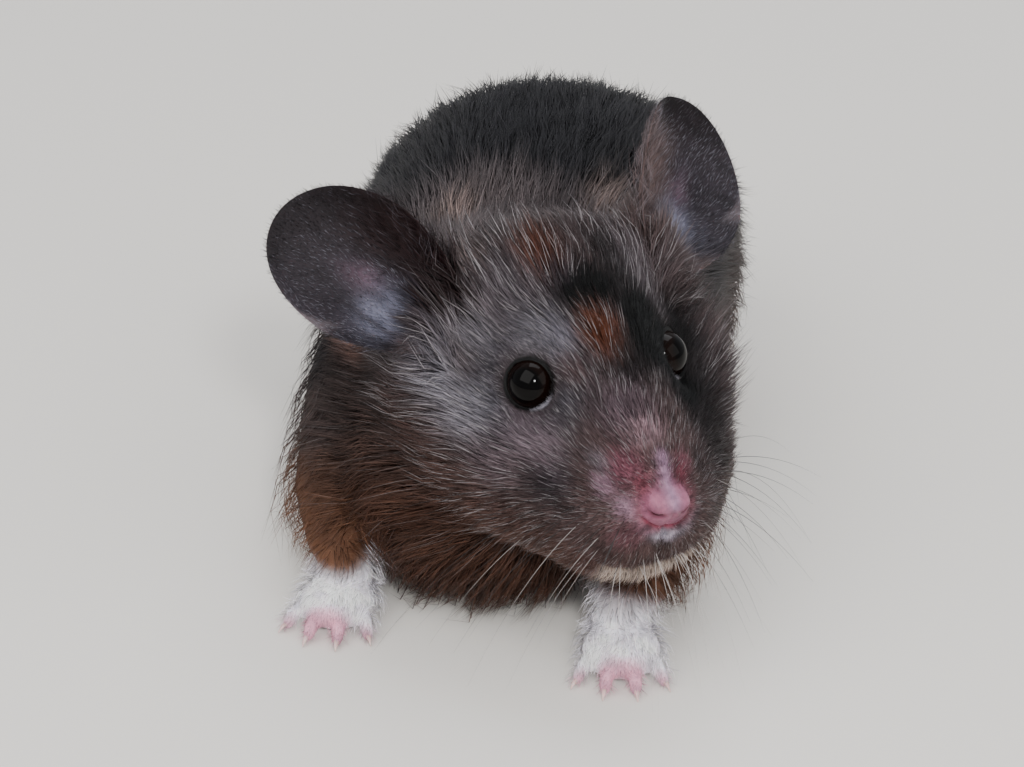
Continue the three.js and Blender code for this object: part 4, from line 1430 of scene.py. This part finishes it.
def tuft_solids(spine, roots, width):
    """Closed three-sided tapering solids, as points by tuft, and one tuft's faces."""
    tangent = unit(spine[:, 1:] - spine[:, :1])
    side = unit(np.cross(tangent, roots["normal"][:, None]))
    up = np.cross(side, tangent)
    rings = []
    for ring, size in enumerate(TUFT["taper"]):
        for turn in (90, 210, 330):
            across = side[:, ring] * math.cos(math.radians(turn))
            over = up[:, ring] * math.sin(math.radians(turn)) * TUFT["flat"]
            rings.append(spine[:, ring] + (across + over) * (width * size / 2)[:, None])
    points = np.stack(rings + [spine[:, 2]], axis=1)
    faces = [(2, 1, 0)]
    for corner in range(3):
        other = (corner + 1) % 3
        faces += [(corner, other, other + 3), (corner, other + 3, corner + 3), (corner + 3, other + 3, 6)]
    return points, np.array(faces)


def chart_places(roots):
    """Where each root lies on its piece's flat chart, an unwrap of the skin's own shape."""
    points, places = roots["place"] / MM, in_head(roots["place"])
    chart = np.zeros((len(points), 2))
    for name in TUFTS:
        own = roots["region"] == name
        if name in FACE:
            chart[own] = head_chart(places[own])
        elif name.startswith("ear"):
            chart[own] = ear_chart(places[own], name.split("_")[1])
        elif name.startswith(("fore", "hind")):
            chart[own] = limb_chart(points[own], roots["node"][own])
        else:
            chart[own] = body_chart(points[own])
        low, high = chart[own].min(axis=0), chart[own].max(axis=0)
        chart[own] = CHART["edge"] + (chart[own] - low) / (high - low) * (1 - 2 * CHART["edge"])
    return chart


def head_chart(places):
    """Rolls the head out round its middle, with the nose at the centre."""
    offsets = places - CHART["head"]
    away = np.arccos(np.clip(-offsets[:, 1] / np.linalg.norm(offsets, axis=1), -1, 1))
    turn = np.arctan2(offsets[:, 2], offsets[:, 0])
    return away[:, None] * np.stack([np.cos(turn), np.sin(turn)], axis=1)


def ear_chart(places, side):
    """Lays an ear's two faces side by side."""
    base, length, axes = ear_frame(side)
    local = (places - base) @ axes.T
    share = np.clip(local[:, 2] / length, 0, 1)
    behind = local[:, 1] > -spline(EAR["cup"], share) * (local[:, 0] / spline(EAR["half_width"], share)) ** 2
    return np.stack([local[:, 0] + CHART["ear_gap"] * behind, local[:, 2]], axis=1)


def limb_chart(points, nodes):
    """Unrolls each limb about its own upright line, side by side."""
    chart = np.zeros((len(points), 2))
    for node in np.unique(nodes):
        own = nodes == node
        middle = points[own].mean(axis=0)
        x, y, z = (points[own] - middle * (1, 1, 0)).T
        turn = np.arctan2(x, -y) + CHART["limb_gap"] * (middle[0] > 0)
        height = (z - CHART["sole_slope"] * np.hypot(x, y)) / CHART["limb_length"]
        chart[own] = np.stack([turn, height], axis=1)
    return chart


def body_chart(points):
    """Unrolls the body about its long line, and the rump and chest past its ends."""
    x, y, z = (points - CHART["body"]).T
    ends = (CHART["radius"] - np.hypot(x, z)) * np.tanh(y / CHART["bend"])
    return np.stack([np.arctan2(x, z) * CHART["radius"], points[:, 1] + ends], axis=1)


def make_coat(skin, tint, material):
    """The whole coat, one joined mesh for each part of the body."""
    rng = np.random.default_rng(SEEDS["coat"])
    length = coat_length(skin)
    fields = {"flow": lie_of_coat(skin), "length": length, "lift": coat_lift(skin),
              "spread": coat_spread(skin, length),
              "region": coat_region(skin["points"], skin["nodes"], skin["normals"])}
    roots = rooted(skin, fields, rng)
    spine, stiff, under = laid_spines(roots, skin, rng)
    spine = clumped(spine, roots, rng)
    width = (TUFT["width"][0] + TUFT["width"][1] * roots["length"]) * MM
    width = width * rng.uniform(*TUFT["widths"], len(width)) * np.where(stiff, TUFT["guard_width"], 1.0)
    points, faces = tuft_solids(spine, roots, width)
    tints = tuft_tints(tint[skin["faces"][under, 0]], roots, spine, stiff, rng)
    chart = chart_places(roots)
    for name in TUFTS:
        own = np.flatnonzero(roots["region"] == name)
        add_tufts(f"coat_{name}", points[own], faces, tints[own], chart[own], material)


def tuft_tints(tints, roots, spine, stiff, rng):
    """Each tuft's tint: the skin's, varied, with pale guard hairs and paler hair on the ears."""
    shade = rng.normal(1.0, TUFT["shade"], len(tints))[:, None]
    tints = tints * np.clip(shade, *TUFT["shades"])
    on_face = np.isin(roots["region"], FACE)
    pale = stiff & (rng.random(len(stiff)) < np.where(on_face, *TUFT["pale"]))
    back = in_head(spine[:, 0])[:, 1]
    paleness = np.where(on_face, stepped(back, *TUFT["face_paleness"]), TUFT["body_paleness"])
    tints = painted(tints, ("pale_hair", pale * paleness * ramp(tints[:, 0], 0.004, 0.05)))
    on_ear = np.isin(roots["region"], ("ear_left", "ear_right"))
    strength = rng.uniform(*EAR_HAIR["strengths"], len(on_ear)) ** 2
    strength = strength * np.where(roots["length"] < EAR_HAIR["long"], 1.0, EAR_HAIR["when_long"])
    return painted(tints, ("ear_hair", on_ear * strength * ramp(tints[:, 0], 0.006, 0.02)))


def add_tufts(name, points, faces, tints, chart, material):
    """One piece of the coat from its tufts' arrays, with its chart for baking."""
    count, each = points.shape[:2]
    all_faces = (faces[None] + (np.arange(count) * each)[:, None, None]).reshape(-1, 3)
    mesh = mesh_of(name, points.reshape(-1, 3), all_faces)
    reach = np.array([0, 0, 0, 0.5, 0.5, 0.5, 1.0])
    across = np.array([-1, 0, 1, -1, 0, 1, 0]) / 2
    patch = np.stack([across, reach], axis=1) * CHART["patch"]
    corners = (chart[:, None] + patch[None]).reshape(-1, 2)
    layer = mesh.uv_layers.new(name="OFBake")
    layer.data.foreach_set("uv", corners[all_faces.ravel()].astype(np.float32).ravel())
    store(mesh, "tint", np.repeat(tints, each, axis=0))
    store(mesh, "along", np.tile(reach, count))
    add_piece(name, mesh, material)


# ---------- Materials ----------
class Shader:
    """Builds one material's nodes in few words."""

    def __init__(self, name):
        self.material = bpy.data.materials.new(name)
        self.material.use_nodes = True
        self.tree = self.material.node_tree
        self.surface = self.tree.nodes["Principled BSDF"]

    def node(self, kind, **inputs):
        made = self.tree.nodes.new(kind)
        for name, value in inputs.items():
            self.put(made.inputs[name.replace("_", " ")], value)
        return made

    def put(self, socket, value):
        if isinstance(value, bpy.types.NodeSocket):
            self.tree.links.new(value, socket)
        else:
            socket.default_value = value

    def set(self, **inputs):
        for name, value in inputs.items():
            self.put(self.surface.inputs[name.replace("_", " ")], value)

    def attribute(self, name, output="Fac"):
        made = self.tree.nodes.new("ShaderNodeAttribute")
        made.attribute_name = name
        return made.outputs[output]

    def noise(self, size, detail=2.0):
        """Noise whose lumps are size metres across."""
        place = self.tree.nodes.new("ShaderNodeTexCoord").outputs["Object"]
        return self.node("ShaderNodeTexNoise", Vector=place, Scale=1 / size, Detail=detail).outputs["Fac"]

    def spread(self, value, low, high, start=0.0, end=1.0):
        """Maps start to end on to low to high."""
        ends = {"From_Min": start, "From_Max": end, "To_Min": low, "To_Max": high}
        return self.node("ShaderNodeMapRange", Value=value, **ends).outputs["Result"]

    def product(self, first, second):
        made = self.tree.nodes.new("ShaderNodeMath")
        made.operation = "MULTIPLY"
        self.put(made.inputs[0], first)
        self.put(made.inputs[1], second)
        return made.outputs["Value"]

    def scaled(self, tint, strength):
        """A colour made stronger or weaker."""
        made = self.tree.nodes.new("ShaderNodeVectorMath")
        made.operation = "SCALE"
        self.put(made.inputs[0], tint)
        self.put(made.inputs["Scale"], strength)
        return made.outputs["Vector"]

    def mixed(self, share, first, second):
        """A colour between two others."""
        made = self.tree.nodes.new("ShaderNodeMix")
        made.data_type = "RGBA"
        self.put(made.inputs["Factor"], share)
        colours = [socket for socket in made.inputs if socket.type == "RGBA"]
        for socket, tint in zip(colours, (first, second)):
            self.put(socket, tint)
        return next(socket for socket in made.outputs if socket.type == "RGBA")

    def bumps(self, height, distance, strength):
        made = self.node("ShaderNodeBump", Height=height, Distance=distance, Strength=strength)
        self.set(Normal=made.outputs["Normal"])


def solid(red, green, blue):
    """A colour for a socket, from the usual 0 to 255 values."""
    return (*colour(red, green, blue), 1.0)


def coat_material():
    """Hair: each tuft's own tint, darker at the root, with a soft sheen."""
    shader = Shader("coat")
    tip = shader.spread(shader.attribute("along"), 0.48, 1.44)
    grain = shader.spread(shader.noise(0.9 * MM), 0.8, 1.2)
    tint = shader.scaled(shader.attribute("tint", "Color"), shader.product(tip, grain))
    roughness = shader.spread(shader.noise(2 * MM), 0.4, 0.56)
    shader.set(Base_Color=tint, Roughness=roughness, Specular_IOR_Level=0.2)
    return shader.material


def skin_material():
    """Skin: moist where it is bare, with a fine grain."""
    shader = Shader("skin")
    grain = shader.spread(shader.noise(0.5 * MM, 4.0), 0.72, 1.28)
    flecks = shader.spread(shader.noise(0.16 * MM, 2.0), 0.85, 1.15)
    tint = shader.scaled(shader.attribute("tint", "Color"), shader.product(grain, flecks))
    roughness = shader.spread(shader.attribute("bare"), 0.62, 0.38)
    shader.set(Base_Color=tint, Roughness=roughness, Specular_IOR_Level=0.17)
    shader.set(Subsurface_Weight=0.1, Subsurface_Radius=(1.0, 0.4, 0.3), Subsurface_Scale=0.6 * MM)
    shader.bumps(shader.noise(0.3 * MM, 3.0), 0.12 * MM, 0.8)
    return shader.material


def eye_material():
    """A wet black ball with a dark brown ring at its edge."""
    shader = Shader("eye")
    iris = shader.scaled(colour(22, 14, 11), shader.spread(shader.noise(0.35 * MM, 3.0), 0.6, 1.4))
    outwards = shader.spread(shader.attribute("outwards"), 0, 1, EYE["iris"], EYE["pupil"])
    tint = shader.mixed(outwards, iris, solid(8, 6, 6))
    roughness = shader.spread(shader.noise(0.8 * MM), 0.02, 0.05)
    shader.set(Base_Color=tint, Roughness=roughness, IOR=1.4, Specular_IOR_Level=0.16)
    return shader.material


def whisker_material():
    """Hairs from dark to pale by their own shade."""
    shader = Shader("whisker")
    tint = shader.mixed(shader.attribute("shade"), solid(34, 30, 31), solid(205, 198, 194))
    shader.set(Base_Color=tint, Roughness=shader.spread(shader.noise(1.5 * MM), 0.3, 0.45))
    return shader.material


def claw_material():
    """Clear pinkish horn with a fine grain."""
    shader = Shader("claw")
    tint = shader.mixed(shader.noise(0.6 * MM, 3.0), solid(196, 156, 158), solid(224, 204, 196))
    shader.set(Base_Color=tint, Roughness=shader.spread(shader.noise(0.3 * MM), 0.22, 0.4))
    shader.set(Subsurface_Weight=0.25, Subsurface_Scale=0.4 * MM)
    shader.bumps(shader.noise(0.2 * MM), 0.04 * MM, 0.5)
    return shader.material


def floor_material():
    """Plain and pale, with slow faint changes of tint."""
    shader = Shader("floor")
    tint = shader.mixed(shader.noise(STAGE["patches"]), solid(222, 217, 210), solid(230, 226, 220))
    shader.set(Base_Color=tint, Roughness=0.8)
    return shader.material


# ---------- The stage ----------
def add_floor():
    corners = np.array([(-1, -1, 0), (1, -1, 0), (1, 1, 0), (-1, 1, 0)]) * STAGE["half"]
    floor = linked("floor", mesh_of("floor", corners, np.array([(0, 1, 2), (0, 2, 3)])))
    floor.data.materials.append(floor_material())


def add_lamp(name, azimuth, elevation, distance, size, energy, tint):
    """A square lamp that looks at the animal."""
    lamp = bpy.data.lights.new(name, "AREA")
    lamp.size, lamp.energy, lamp.color = size, energy, tint
    item = linked(name, lamp)
    turn, rise = math.radians(azimuth), math.radians(elevation)
    way = Vector((math.sin(turn) * math.cos(rise), -math.cos(turn) * math.cos(rise), math.sin(rise)))
    item.location = Vector(STAGE["aim"]) + way * distance
    item.rotation_euler = way.to_track_quat("Z", "Y").to_euler()


def add_camera():
    data = bpy.data.cameras.new("camera")
    data.lens, data.sensor_width, data.clip_start = CAMERA["lens"], CAMERA["sensor"], CAMERA["near"]
    camera = linked("camera", data)
    camera.location = Vector(CAMERA["place"]) * MM
    camera.rotation_euler = (math.radians(90 - CAMERA["elevation"]), 0, math.radians(CAMERA["azimuth"]))
    bpy.context.scene.camera = camera


def light_stage():
    world = bpy.data.worlds.new("world")
    world.use_nodes = True
    background = world.node_tree.nodes["Background"]
    background.inputs["Color"].default_value = STAGE["sky"]
    background.inputs["Strength"].default_value = STAGE["sky_strength"]
    bpy.context.scene.world = world
    for lamp in LAMPS:
        add_lamp(*lamp)


# ---------- The whole animal ----------
def bare_skin(skin):
    """1 where the skin shows and shines, on the nose, and a little on the lids."""
    places = in_head(skin["points"])
    bare = ramp(nose_distance(places), 5.0, 3.5)
    for side in SIDES:
        distance, height = round_eye(places, side)
        bare = np.maximum(bare, 0.1 * ramp(distance, 3.6, 3.3) * (height > 0))
    return bare


def make_animal():
    """Every visible piece of the animal, from one skin."""
    skin = make_skin()
    tint = markings(skin)
    piece = add_piece("skin", mesh_of("skin", skin["points"], skin["faces"]), skin_material())
    store(piece.data, "tint", tint)
    store(piece.data, "bare", bare_skin(skin))
    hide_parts(*FLESH)
    make_coat(skin, tint, coat_material())
    wet_glint, horn, hair = eye_material(), claw_material(), whisker_material()
    tree = BVHTree.FromPolygons(skin["points"].tolist(), skin["faces"].tolist())
    rng = np.random.default_rng(SEEDS["whiskers"])
    for side in SIDES:
        make_eye(side, wet_glint)
        make_whiskers(f"whiskers_{side}", cheek_whiskers(side, rng) + brow_whiskers(side, rng), tree, hair)
    make_whiskers("whiskers_chin", chin_whiskers(rng), tree, hair)
    for node in FOOT_YAW:
        make_claws(node, horn)


make_animal()
add_floor()
add_camera()
light_stage()
